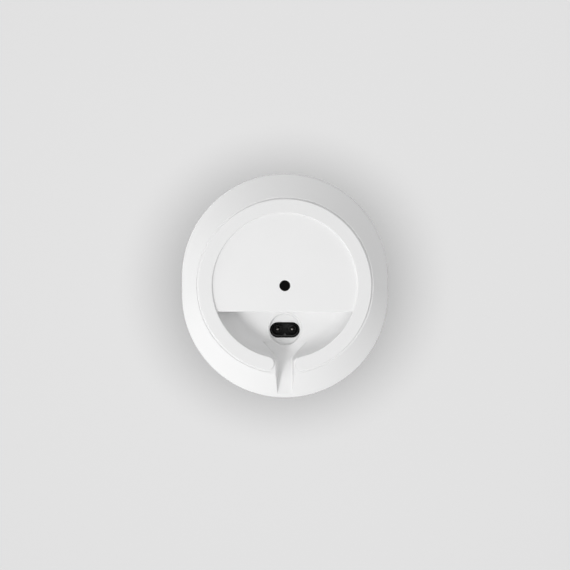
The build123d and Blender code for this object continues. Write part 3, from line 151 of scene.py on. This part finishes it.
def new_group(name, inputs, outputs):
    """Empty shader group with number or colour sockets, and its two ends."""
    tree = bpy.data.node_groups.new(name, "ShaderNodeTree")
    for label, value in inputs.items():
        kind = "NodeSocketColor" if isinstance(value, tuple) else "NodeSocketFloat"
        tree.interface.new_socket(label, in_out="INPUT", socket_type=kind).default_value = value
    for label, kind in outputs.items():
        tree.interface.new_socket(label, in_out="OUTPUT", socket_type="NodeSocket" + kind)
    start, end = tree.nodes.new("NodeGroupInput"), tree.nodes.new("NodeGroupOutput")
    return tree, start.outputs, end.inputs


def place(tree):
    """Object coordinates, in metres in the speaker's own frame."""
    return put(tree, "TexCoord").outputs["Object"]


# ============================================================ shared finishes
def moulded_group():
    """Spark-eroded mould texture: fine grain, faint cloudiness in tone and gloss."""
    tree, given, out = new_group(
        "moulded_texture",
        {"Colour": (0.8, 0.8, 0.8, 1), "Tone": 0.03, "Roughness": 0.5, "Spread": 0.05, "Grain": 3000.0},
        {"Colour": "Color", "Roughness": "Float", "Height": "Float"},
    )
    where = place(tree)
    cloud = put(tree, "TexNoise", Vector=where, Scale=38.0, Detail=3.0).outputs[0]
    grain = put(tree, "TexNoise", Vector=where, Scale=given["Grain"], Detail=2.0).outputs[0]
    pits = put(tree, "TexVoronoi", Vector=where, Scale=given["Grain"]).outputs[0]
    shade = maths(tree, "MULTIPLY", given["Tone"], maths(tree, "SUBTRACT", cloud, 0.5))
    shade = maths(tree, "ADD", 1.0, shade)
    scaled = put(tree, "VectorMath", operation="SCALE")
    tree.links.new(given["Colour"], scaled.inputs[0])
    tree.links.new(shade, scaled.inputs["Scale"])
    tree.links.new(scaled.outputs[0], out["Colour"])
    wander = maths(tree, "MULTIPLY", given["Spread"], maths(tree, "SUBTRACT", grain, 0.5))
    tree.links.new(maths(tree, "ADD", given["Roughness"], wander), out["Roughness"])
    tree.links.new(maths(tree, "ADD", grain, maths(tree, "MULTIPLY", pits, 0.4)), out["Height"])
    return tree


def brushed_group():
    """Drawn or brushed metal: long fine scratches along X, with tarnish in the tone."""
    tree, given, out = new_group(
        "brushed_metal",
        {"Colour": (0.6, 0.6, 0.6, 1), "Tone": 0.15, "Roughness": 0.35, "Spread": 0.2, "Lines": 9000.0},
        {"Colour": "Color", "Roughness": "Float", "Height": "Float"},
    )
    stretched = put(tree, "Mapping", Vector=place(tree), Scale=(0.02, 1.0, 1.0)).outputs[0]
    lines = put(tree, "TexNoise", Vector=stretched, Scale=given["Lines"], Detail=2.0).outputs[0]
    tarnish = put(tree, "TexNoise", Vector=place(tree), Scale=160.0, Detail=4.0).outputs[0]
    shade = maths(tree, "MULTIPLY", given["Tone"], maths(tree, "SUBTRACT", tarnish, 0.5))
    scaled = put(tree, "VectorMath", operation="SCALE")
    tree.links.new(given["Colour"], scaled.inputs[0])
    tree.links.new(maths(tree, "ADD", 1.0, shade), scaled.inputs["Scale"])
    tree.links.new(scaled.outputs[0], out["Colour"])
    wander = maths(tree, "MULTIPLY", given["Spread"], maths(tree, "SUBTRACT", lines, 0.5))
    tree.links.new(maths(tree, "ADD", given["Roughness"], wander), out["Roughness"])
    tree.links.new(lines, out["Height"])
    return tree


def weave_group():
    """Plain weave on the upright walls: threads round the body over and under upright ones."""
    tree, given, out = new_group(
        "cloth_weave",
        {"Colour": (0.05, 0.05, 0.05, 1), "Gap Colour": (0.01, 0.01, 0.01, 1), "Threads": 1600.0},
        {"Colour": "Color", "Height": "Float"},
    )
    parts = put(tree, "SeparateXYZ", Vector=place(tree)).outputs
    round_body = maths(tree, "ADD", parts[0], parts[1])
    turns = maths(tree, "MULTIPLY", given["Threads"], 2 * pi)
    across = maths(tree, "SINE", maths(tree, "MULTIPLY", round_body, turns))
    along = maths(tree, "SINE", maths(tree, "MULTIPLY", parts[2], turns))
    over = maths(tree, "ABSOLUTE", maths(tree, "MULTIPLY", across, along))
    tree.links.new(tinted(tree, over, given["Gap Colour"], given["Colour"]), out["Colour"])
    tree.links.new(over, out["Height"])
    return tree


moulded = moulded_group()
brushed = brushed_group()
weave = weave_group()


def new_material(name, metallic=0.0, specular=0.5, **sockets):
    """Material with its own shader. Constant values go straight on the shader."""
    material = bpy.data.materials.new(name)
    material.use_nodes = True
    shader = material.node_tree.nodes["Principled BSDF"]
    shader.inputs["Metallic"].default_value = metallic
    shader.inputs["Specular IOR Level"].default_value = specular
    for key, value in sockets.items():
        shader.inputs[key.replace("_", " ")].default_value = value
    return material


def apply_finish(material, group, depth, **values):
    """Puts a shared finish into a material and joins it to its shader. depth is the relief in metres."""
    tree = material.node_tree
    shader = tree.nodes["Principled BSDF"]
    used = tree.nodes.new("ShaderNodeGroup")
    used.node_tree = group
    for key, value in values.items():
        used.inputs[key].default_value = (*value, 1) if isinstance(value, tuple) else value
    tree.links.new(used.outputs["Colour"], shader.inputs["Base Color"])
    if "Roughness" in used.outputs:
        tree.links.new(used.outputs["Roughness"], shader.inputs["Roughness"])
    relief = put(tree, "Bump", Height=used.outputs["Height"], Distance=depth)
    tree.links.new(relief.outputs[0], shader.inputs["Normal"])
    return material


def plastic(name, tone, roughness, depth=0.012 * mm, grain=3200.0, specular=0.4, cloud=0.03):
    """Moulded plastic or rubber."""
    material = new_material(name, specular=specular)
    return apply_finish(
        material, moulded, depth, Colour=tone, Tone=cloud, Roughness=roughness, Spread=0.08, Grain=grain
    )


def metal(name, tone, roughness, depth=0.004 * mm, tarnish=0.15):
    """Bare or plated metal."""
    material = new_material(name, metallic=1.0)
    return apply_finish(material, brushed, depth, Colour=tone, Tone=tarnish, Roughness=roughness, Spread=0.15)


def cloth(name, tone, gap, threads, depth):
    """Woven fabric, with so many threads to the metre."""
    material = new_material(name, specular=0.2, Roughness=0.9)
    return apply_finish(material, weave, depth, Colour=tone, **{"Gap Colour": gap, "Threads": threads})


def grey(value, warm=0.0):
    """Neutral tone, a little warm if wished."""
    return (value + warm, value, value - warm)


finishes = {
    "shell": plastic("white_shell", grey(0.85), 0.52),
    "grille": plastic("white_grille_paint", grey(0.84), 0.5, grain=5000.0),
    "silicone": plastic("foot_silicone", grey(0.825), 0.62, depth=0.006 * mm, specular=0.3),
    "black_plastic": plastic("black_inlet", grey(0.037), 0.5, specular=0.3),
    # inlet rim: darker than the inlet's black plastic and nearly without gloss, as painted shade for the
    # cavity's walls at the opening
    "inlet_rim": plastic("inlet_mouth_painted_shade", grey(0.003), 0.6, specular=0.1),
    "contact": metal("nickel_pin", (0.2, 0.19, 0.18), 0.42),
    # insert: near-black and without metal gloss, partly the insert's own black finish and partly painted
    # shade for the dark depth of its bore
    "insert": plastic("black_insert_and_bore_shade", grey(0.006), 0.5, specular=0.3),
    "cloth": cloth("acoustic_cloth", grey(0.035), grey(0.008), 1400.0, 0.05 * mm),
    "window": plastic("light_guide", grey(0.75), 0.15, depth=0.001 * mm),
    "cabinet": plastic("black_cabinet", grey(0.045), 0.5, depth=0.03 * mm, grain=1800.0),
    "seal": plastic("foam_seal", grey(0.03), 0.9, depth=0.08 * mm, grain=1500.0, specular=0.2),
    "board": plastic("green_board", (0.02, 0.13, 0.05), 0.35, depth=0.01 * mm, grain=900.0),
    "chip": plastic("black_epoxy", grey(0.025), 0.45),
    "aluminium": metal("brushed_aluminium", grey(0.8), 0.35),
    "steel": metal("zinc_plate", grey(0.58), 0.38),
    "basket": plastic("black_powder_coat", grey(0.035), 0.55, depth=0.04 * mm, grain=2200.0),
    "magnet": plastic("sintered_magnet", grey(0.07), 0.6, depth=0.03 * mm),
    "cone": plastic("pressed_fibre", grey(0.06), 0.8, depth=0.06 * mm, grain=1200.0),
    "winding": metal("enamelled_copper", (0.72, 0.33, 0.14), 0.3),
    "spider": cloth("treated_cloth", (0.55, 0.38, 0.18), (0.2, 0.12, 0.05), 900.0, 0.08 * mm),
    "dome": cloth("coated_silk", grey(0.09), grey(0.04), 2600.0, 0.02 * mm),
    "can": metal("tinned_sheet", grey(0.7), 0.3),
    "film": plastic("amber_film", (0.45, 0.2, 0.05), 0.25),
    "capacitor": plastic("shrink_sleeve", (0.03, 0.04, 0.09), 0.3),
    "ferrite": plastic("yellow_tape", (0.6, 0.45, 0.08), 0.4),
}

for part in frame["record"]["subparts"]:
    mesh = nodes[part["node"]].data
    mesh.materials.clear()
    mesh.materials.append(finishes[part["material_slot"]])


# ============================================================ making pieces
def finished(name, shape, finish, body="speaker"):
    """Makes a piece of its bmesh, with its finish, and fixes it to a body if one is given.

    Level faces stay flat, and the others are smooth up to edges sharper than 35 degrees.
    """
    for face in shape.faces:
        face.smooth = abs(face.normal.z) < 0.999
    for edge in shape.edges:
        edge.smooth = edge.is_manifold and edge.calc_face_angle(0) < radians(35)
    mesh = bpy.data.meshes.new(name)
    shape.to_mesh(mesh)
    shape.free()
    mesh.materials.append(finishes[finish])
    piece = bpy.data.objects.new(name, mesh)
    bpy.context.scene.collection.objects.link(piece)
    if body:
        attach(piece, body)
    return piece


def corners(made, key="geom"):
    """Vertices among what an operator gives back."""
    return [item for item in made[key] if isinstance(item, bmesh.types.BMVert)]


def edges(made, key="geom"):
    """Edges among what an operator gives back."""
    return [item for item in made[key] if isinstance(item, bmesh.types.BMEdge)]


def arc(shape, corner, centre, angle, steps):
    """Draws an arc on from a corner, seen from above, and gives its far corner."""
    drawn = bmesh.ops.spin(shape, geom=[corner], cent=centre, axis=(0, 0, 1), angle=angle, steps=steps)
    return corners(drawn, "geom_last")[0]


def closed(shape):
    """Merges a shape's seams and turns its faces outwards."""
    bmesh.ops.remove_doubles(shape, verts=shape.verts, dist=0.002 * mm)
    bmesh.ops.recalc_face_normals(shape, faces=shape.faces)


def section(shape, middle, points):
    """Closed outline upright along Y, from (distance from the middle, height) in millimetres."""
    placed = [shape.verts.new((middle[0], middle[1] - far * mm, height * mm)) for far, height in points]
    return [shape.edges.new(pair) for pair in zip(placed, placed[1:] + placed[:1])]


def turned(shape, middle, points, steps=24):
    """Ring turned from a section round an upright axis."""
    drawn = section(shape, middle, points)
    bmesh.ops.spin(
        shape, geom=drawn, cent=(*middle, 0), axis=(0, 0, 1), angle=2 * pi, steps=steps, use_merge=True
    )


def round_slot(shape, points):
    """Ring swept from a section round the inlet's opening: half turn, straight, half turn, straight."""
    drawn = section(shape, (inlet_run, opening_y), points)
    for side in (1, -1):
        half_turn = bmesh.ops.spin(
            shape, geom=drawn, cent=(side * inlet_run, opening_y, 0), axis=(0, 0, 1), angle=pi, steps=16
        )
        straight = bmesh.ops.extrude_edge_only(shape, edges=edges(half_turn, "geom_last"))
        bmesh.ops.translate(shape, verts=corners(straight), vec=(-side * 2 * inlet_run, 0, 0))
        drawn = [edge for edge in edges(straight) if set(edge.verts) <= set(corners(straight))]
    closed(shape)


# ============================================================ underside
def foot_slab(outer, width, gap, lower, upper):
    """C-shaped slab under the speaker, full-round at its ends, between two heights."""
    middle = outer - width / 2
    turn = asin((gap + width) / 2 / middle)
    end = Vector((sin(turn), cos(turn), 0)) * middle
    shape = bmesh.new()
    start = shape.verts.new((-sin(turn) * outer, cos(turn) * outer, 0))
    corner = arc(shape, start, (0, 0, 0), 2 * (pi - turn), 140)
    corner = arc(shape, corner, end, pi, 18)
    corner = arc(shape, corner, (0, 0, 0), 2 * (turn - pi), 140)
    arc(shape, corner, (-end.x, end.y, 0), pi, 18)
    bmesh.ops.remove_doubles(shape, verts=shape.verts, dist=0.002 * mm)
    bmesh.ops.edgeloop_fill(shape, edges=shape.edges)
    raised = bmesh.ops.extrude_face_region(shape, geom=shape.faces[:], use_keep_orig=True)
    bmesh.ops.translate(shape, verts=corners(raised), vec=(0, 0, upper - lower))
    bmesh.ops.translate(shape, verts=shape.verts, vec=(0, 0, lower))
    closed(shape)
    return shape


def foot_pad():
    """Silicone foot ring: a seat that fills its groove, and the raised part that the speaker stands on."""
    outer = high("foot_ring").x
    groove_roof = high("foot_ring").z
    panel = groove_roof - foot_sunk
    seat_face = panel + seat_sunk
    width = foot_width + 2 * seat_spread
    gap = foot_gap - 2 * seat_spread
    seat = foot_slab(outer + seat_spread, width, gap, seat_face, groove_roof)
    finished("foot_seat", seat, "shell")
    width = foot_width - pad_step + pad_spread
    pad = foot_slab(outer - pad_step, width, foot_gap, 0, seat_face + 0.1 * mm)
    rim = [edge for edge in pad.edges if max(corner.co.z for corner in edge.verts) < 0.001 * mm]
    bmesh.ops.bevel(pad, geom=rim, offset=pad_round, affect="EDGES", segments=3, profile=0.5, material=-1)
    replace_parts(finished("foot_pad", pad, "silicone"), "foot_ring")


def stand_thread():
    """Thread inside the insert, and a disc at the insert's far end; their near-black finish is partly the
    insert's own black and partly painted shade for the deep bore.
    """
    foot = low("mount_insert").z
    head = high("mount_insert").z
    steps = 20
    turns = int((head - foot) / thread_pitch) - 1
    root = thread_radius / mm - 0.02
    start = foot / mm
    shape = bmesh.new()
    ridge = section(shape, (0, 0), [(root, start + 0.1), (root - 0.6, start + 0.65), (root, start + 1.2)])
    bmesh.ops.spin(
        shape,
        geom=ridge,
        cent=(0, 0, 0),
        axis=(0, 0, 1),
        angle=turns * 2 * pi,
        steps=turns * steps,
        dvec=(0, 0, thread_pitch / steps),
    )
    bmesh.ops.holes_fill(shape, edges=shape.edges)
    bmesh.ops.recalc_face_normals(shape, faces=shape.faces)
    finished("stand_thread", shape, "insert")
    # disc closing the insert's far end, near-black so that the bore reads dark: partly painted shade
    shape = bmesh.new()
    bmesh.ops.create_cone(
        shape, cap_ends=True, segments=32, radius1=thread_radius, radius2=thread_radius, depth=0.3 * mm
    )
    bmesh.ops.translate(shape, verts=shape.verts, vec=(0, 0, head - 0.16 * mm))
    finished("insert_blind_end_painted_shade", shape, "insert")


def inlet_trim():
    """White lip round the inlet, a near-black ring inside its opening that paints the shade along the
    cavity's walls, and the edge of its pocket.
    """
    roof = pocket_roof / mm
    half = inlet_half / mm
    shape = bmesh.new()
    round_slot(
        shape,
        [
            (half + 0.05, roof + 0.1),
            (half + 0.05, roof - 0.2),
            (half + 0.2, roof - 0.35),
            (half + 0.55, roof - 0.35),
            (half + 0.75, roof - 0.15),
            (half + 0.75, roof + 0.1),
        ],
    )
    finished("inlet_lip", shape, "shell")
    # near-black ring just inside the opening's mouth: painted shade along the cavity's walls
    shape = bmesh.new()
    inner = half - 0.9
    outer = half - 0.05
    round_slot(shape, [(inner, roof + 0.4), (inner, roof - 0.1), (outer, roof - 0.2), (outer, roof + 0.4)])
    finished("inlet_rim", shape, "inlet_rim")
    shape = bmesh.new()
    wall = pocket_radius / mm
    rim = roof - pocket_depth / mm
    turned(
        shape,
        (0, inlet_y),
        [
            (wall - 0.55, rim + 2.3),
            (wall - 0.55, rim + 0.75),
            (wall - 0.45, rim + 0.5),
            (wall + 0.2, rim - 0.15),
            (wall + 0.4, rim - 0.2),
            (wall + 0.7, rim - 0.1),
            (wall + 0.9, rim + 0.1),
            (wall + 0.9, rim + 0.3),
        ],
        steps=64,
    )
    closed(shape)
    finished("pocket_edge", shape, "shell")


def contact_pins():
    """Round-nosed pins, the collars at their feet, and the key at the rear of the opening."""
    nose = low("inlet_pins").z / mm
    tail = high("inlet_pins").z / mm
    radius = pin_radius / mm
    shape = bmesh.new()
    for side in (-1, 1):
        turned(
            shape,
            (side * pin_x, inlet_y),
            [
                (0, nose),
                (0.35 * radius, nose + 0.06),
                (0.65 * radius, nose + 0.27),
                (0.87 * radius, nose + 0.62),
                (radius, nose + 1.3),
                (radius, tail),
                (0, tail),
            ],
        )
    closed(shape)
    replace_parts(finished("contact_pins", shape, "contact"), "inlet_pins")
    shape = bmesh.new()
    foot = (pocket_roof + inlet_depth) / mm
    crown = foot - 2.5
    foot -= 0.05
    for side in (-1, 1):
        turned(
            shape,
            (side * pin_x, inlet_y),
            [(1.45, foot), (1.45, crown), (2.4, crown), (2.7, crown + 0.3), (2.7, foot)],
        )
    closed(shape)
    finished("pin_collars", shape, "black_plastic")
    shape = bmesh.new()
    back = opening_y + inlet_half - 0.6 * mm
    sunk = 0.3 * mm
    key_half = 1.5 * mm
    key_height = 2.1 * mm
    points = ((-key_half, back), (0, back - key_height), (key_half, back))
    shape.faces.new([shape.verts.new((x, y, pocket_roof + sunk)) for x, y in points])
    grown = bmesh.ops.extrude_face_region(shape, geom=shape.faces[:], use_keep_orig=True)
    bmesh.ops.translate(shape, verts=corners(grown), vec=(0, 0, inlet_depth - sunk - 0.2 * mm))
    closed(shape)
    finished("inlet_key", shape, "black_plastic")


# ============================================================ woofer
def flexing_ring(name, node, finish, line, sheet):
    """Soft ring between the woofer's basket and its moving parts, made in sixteen parts.

    line gives the sheet's section as (radius, y) in millimetres, from outside inwards.
    """
    parts = 16
    centre = Vector((0, 0, (low(node).z + high(node).z) / 2))
    for number in range(parts):
        start = number * 2 * pi / parts
        shape = bmesh.new()
        out, up = sin(start) * mm, cos(start) * mm
        drawn = [shape.verts.new((out * far, y * mm, centre.z + up * far)) for far, y in line]
        drawn = [shape.edges.new(pair) for pair in zip(drawn, drawn[1:])]
        bmesh.ops.spin(shape, geom=drawn, cent=centre, axis=(0, 1, 0), angle=2 * pi / parts, steps=3)
        bmesh.ops.recalc_face_normals(shape, faces=shape.faces)
        bmesh.ops.solidify(shape, geom=shape.faces[:], thickness=sheet)
        closed(shape)
        piece = finished("%s_%d" % (name, number + 1), shape, finish, body=None)
        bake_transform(piece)
        if number == 0:
            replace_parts(piece, node)


def woofer_suspension():
    """Foam surround with its half roll, and the corrugated spider behind the cone."""
    seat = high("woofer_surround").y / mm - 0.3
    cone = high("woofer_cone").x / mm
    edge = high("woofer_surround").x / mm
    roll = 2.8
    middle = cone + roll + 0.3
    bends = [pi * number / 10 for number in range(11)]
    line = [(edge, seat), (middle + roll + 0.3, seat)]
    line += [(middle + roll * cos(bend), seat - roll * sin(bend)) for bend in bends]
    line += [(cone, seat), (cone - 1.8, seat)]
    glued = middle + roll
    flexing_ring("surround", "woofer_surround", "seal", line, 0.5 * mm)
    back = high("woofer_spider").y / mm - 0.2
    edge = high("woofer_spider").x / mm
    coil = 12.4
    glued = edge - 3
    waves = 4
    steps = 20
    line = [(edge, back), (glued, back)]
    for number in range(1, steps):
        share = number / steps
        wave = 0.4 * sin(share * waves * 2 * pi)
        line.append((glued - share * (glued - 1.5 - coil), back - 1.8 * share**0.5 + wave))
    line += [(coil + 1, back - 1.9), (coil + 0.1, back - 1.9)]
    flexing_ring("spider", "woofer_spider", "spider", line, 0.35 * mm)


# ============================================================ grille
def wrapped(along, height):
    """Point on the outline, from the way round it from the front's middle, at a height."""
    radius = half_width - grille_inset
    beyond = abs(along) - half_width * pi / 2
    if beyond < 0:
        turn = along / half_width
        return Vector((radius * sin(turn), -side_flat / 2 - radius * cos(turn), height))
    if beyond < side_flat:
        return Vector((copysign(radius, along), beyond - side_flat / 2, height))
    turn = (beyond - side_flat) / half_width
    return Vector((copysign(radius * cos(turn), along), side_flat / 2 + radius * sin(turn), height))


def repeated(shape, times, step):
    """Copies all of the shape, each copy a step further on, and merges where they meet."""
    first = shape.verts[:] + shape.edges[:] + shape.faces[:]
    for number in range(1, times):
        copy = bmesh.ops.duplicate(shape, geom=first)
        bmesh.ops.translate(shape, verts=corners(copy), vec=Vector(step) * number)
    bmesh.ops.remove_doubles(shape, verts=shape.verts, dist=0.01 * mm)


def widened(shape, level, axis, step):
    """Extends the open edges that lie at a level, by a step along the same axis."""
    chosen = [
        edge
        for edge in shape.edges
        if edge.is_boundary and all(abs(corner.co[axis] - level) < 0.02 * mm for corner in edge.verts)
    ]
    grown = bmesh.ops.extrude_edge_only(shape, edges=chosen)
    way = [0, 0, 0]
    way[axis] = step
    bmesh.ops.translate(shape, verts=corners(grown), vec=way)


def hole_tile(pitch, row, radius):
    """One eight-sided hole in an oblong tile, flat in X and Z, with its low corner at the origin."""
    shape = bmesh.new()
    bmesh.ops.create_circle(shape, segments=8, radius=radius)
    border = bmesh.ops.extrude_edge_only(shape, edges=shape.edges)
    for corner in corners(border):
        for axis, half in ((0, pitch / 2), (1, row / 2)):
            part = corner.co[axis]
            corner.co[axis] = 0 if abs(part) < radius / 10 else copysign(half, part)
    bmesh.ops.translate(shape, verts=shape.verts, vec=(pitch / 2, row / 2, 0))
    for corner in shape.verts:
        corner.co = (corner.co.x, 0, corner.co.y)
    return shape


def perforated_grille():
    """White metal grille with staggered round holes, bent round the body and made in level bands."""
    length = 2 * (half_width * (pi - asin(spine_half / half_width)) + side_flat)
    pitch = (length - 2 * plain_strip) / (hole_columns + 0.5)
    row = (cap_seam - seam - 2 * plain_strip) / (2 * sum(band_pairs))
    shape = hole_tile(pitch, row, hole_radius)
    repeated(shape, hole_columns, (pitch, 0, 0))
    repeated(shape, 2, (pitch / 2, 0, row))
    widened(shape, pitch / 2, 0, -pitch / 2)
    widened(shape, hole_columns * pitch, 0, pitch / 2)
    bmesh.ops.remove_doubles(shape, verts=shape.verts, dist=0.01 * mm)
    widened(shape, 0, 0, -plain_strip)
    widened(shape, (hole_columns + 0.5) * pitch, 0, plain_strip)
    pair = bpy.data.meshes.new("pair_of_rows")
    shape.to_mesh(pair)
    shape.free()
    done = 0
    for number, count in enumerate(band_pairs, 1):
        band = bmesh.new()
        band.from_mesh(pair)
        repeated(band, count, (0, 0, 2 * row))
        if done == 0:
            widened(band, 0, 2, -plain_strip)
        if done + count == sum(band_pairs):
            widened(band, count * 2 * row, 2, plain_strip)
        for corner in band.verts:
            along = corner.co.x - (hole_columns + 0.5) * pitch / 2
            corner.co = wrapped(along, seam + plain_strip + done * 2 * row + corner.co.z)
        bmesh.ops.recalc_face_normals(band, faces=band.faces)
        face = band.faces[:][0]
        if face.normal.dot(face.calc_center_median()) < 0:
            bmesh.ops.reverse_faces(band, faces=band.faces)
        piece = finished("grille_band_%d" % number, band, "grille")
        wall = piece.modifiers.new("sheet", "SOLIDIFY")
        wall.thickness = grille_wall
        wall.offset = -1
        if done == 0:
            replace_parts(piece, "grille_wrap")
        done += count


foot_pad()
stand_thread()
inlet_trim()
contact_pins()
woofer_suspension()
perforated_grille()


# ============================================================ stage
def seen(tree):
    """1 for what the camera sees, straight, in a reflection or through glass, and 0 for light."""
    path = put(tree, "LightPath").outputs
    straight = maths(tree, "MAXIMUM", path["Is Camera Ray"], path["Is Glossy Ray"])
    return maths(tree, "MAXIMUM", straight, path["Is Transmission Ray"])


def paper(name, radius, height, facing, tone, glow):
    """Round stage paper at a height, seen from above (facing 1) or from below (facing -1)."""
    shape = bmesh.new()
    bmesh.ops.create_circle(shape, segments=96, radius=radius, cap_ends=True)
    if facing < 0:
        bmesh.ops.reverse_faces(shape, faces=shape.faces)
    bmesh.ops.translate(shape, verts=shape.verts, vec=(0, 0, height))
    mesh = bpy.data.meshes.new(name)
    shape.to_mesh(mesh)
    shape.free()
    mesh.materials.append(one_sided(name + "_paper", tone, glow))
    sheet = bpy.data.objects.new(name, mesh)
    bpy.context.scene.collection.objects.link(sheet)
    # the sheet is seen and catches light, but gives no bounce and no shadow
    sheet.visible_diffuse = False
    sheet.visible_glossy = False
    sheet.visible_transmission = False
    sheet.visible_shadow = False
    return sheet


def one_sided(name, tone, glow):
    """Plain paper, clear from its back. The glow only lifts how it looks, and lights nothing."""
    material = bpy.data.materials.new(name)
    material.use_nodes = True
    tree = material.node_tree
    tree.nodes.clear()
    matte = put(tree, "BsdfDiffuse", Color=(tone, tone, tone, 1))
    lifted = put(tree, "Emission", Color=(1, 1, 1, 1), Strength=maths(tree, "MULTIPLY", seen(tree), glow))
    paper_face = put(tree, "AddShader")
    tree.links.new(matte.outputs[0], paper_face.inputs[0])
    tree.links.new(lifted.outputs[0], paper_face.inputs[1])
    back = put(tree, "NewGeometry").outputs["Backfacing"]
    mixed = put(tree, "MixShader", Fac=back)
    tree.links.new(paper_face.outputs[0], mixed.inputs[1])
    tree.links.new(put(tree, "BsdfTransparent").outputs[0], mixed.inputs[2])
    tree.links.new(mixed.outputs[0], put(tree, "OutputMaterial").inputs["Surface"])
    return material


def lamp(name, towards, distance, across, power):
    """Round soft lamp that shines at the speaker from a direction, in metres and watts."""
    light = bpy.data.lights.new(name, "AREA")
    light.shape = "DISK"
    light.size = across
    light.energy = power
    made = bpy.data.objects.new(name, light)
    bpy.context.scene.collection.objects.link(made)
    away = Vector(towards).normalized()
    made.location = away * distance
    made.rotation_mode = "QUATERNION"
    made.rotation_quaternion = away.to_track_quat("Z", "Y")
    return made


def reach(light, sheet, state):
    """The lamp lights only the sheet, or everything but the sheet."""
    group = bpy.data.collections.new(light.name + "_reach")
    light.light_linking.receiver_collection = group
    group.objects.link(sheet)
    group.collection_objects[0].light_linking.link_state = state


def room(ambient, pale):
    """Even light from all round, and a pale room for what is seen directly or in reflections."""
    world = bpy.data.worlds.new("room")
    bpy.context.scene.world = world
    world.use_nodes = True
    tree = world.node_tree
    tree.nodes.clear()
    strength = maths(tree, "ADD", ambient, maths(tree, "MULTIPLY", seen(tree), pale - ambient))
    shine = put(tree, "Background", Color=(1, 1, 1, 1), Strength=strength)
    tree.links.new(shine.outputs[0], put(tree, "OutputWorld").inputs["Surface"])


# it stands on the floor, and a second sheet at its top takes the shadow that shows from below
paper("floor", 6.0, -0.2 * mm, 1, 0.5, 0.36)
backdrop = paper("backdrop", 0.45, top + 0.2 * mm, -1, 0.2, 0.0)

key = lamp("key", (-0.5, 0.5, -1.0), 1.2, 0.32, 5.2)
side = lamp("side", (-0.85, 1.25, -1.0), 1.2, 0.9, 2.1)
front = lamp("front", (0.0, 0.0, -1.0), 1.3, 0.9, 0.4)
edge_light = lamp("edge_light", (-0.9, -0.6, -0.25), 1.2, 0.6, 1.4)
lamp("upper", (-0.5, -0.45, 1.2), 1.6, 0.9, 12.0)
behind = lamp("backdrop_lamp", (0, 0, -1.0), 2.3, 1.4, 213.0)
behind.data.shape = "ELLIPSE"
behind.data.size_y = 1.15
for light in (key, side, front, edge_light):
    reach(light, backdrop, "EXCLUDE")
reach(behind, backdrop, "INCLUDE")
room(ambient=0.56, pale=0.768)
bpy.context.scene.view_settings.view_transform = "Standard"


# ============================================================ camera
# straight from below, a little off the middle; field is the width seen at the height of the base's rim
lens = 100.0
sensor = 36.0
field = 333 * mm
rim_height = high("foot_ring").z + 11 * mm

camera = bpy.data.objects.new("camera", bpy.data.cameras.new("camera"))
bpy.context.scene.collection.objects.link(camera)
camera.data.lens = lens
camera.data.sensor_width = sensor
camera.location = (0.1 * mm, -0.4 * mm, rim_height - field * lens / sensor)
camera.rotation_euler = (pi, 0, 0)
bpy.context.scene.camera = camera
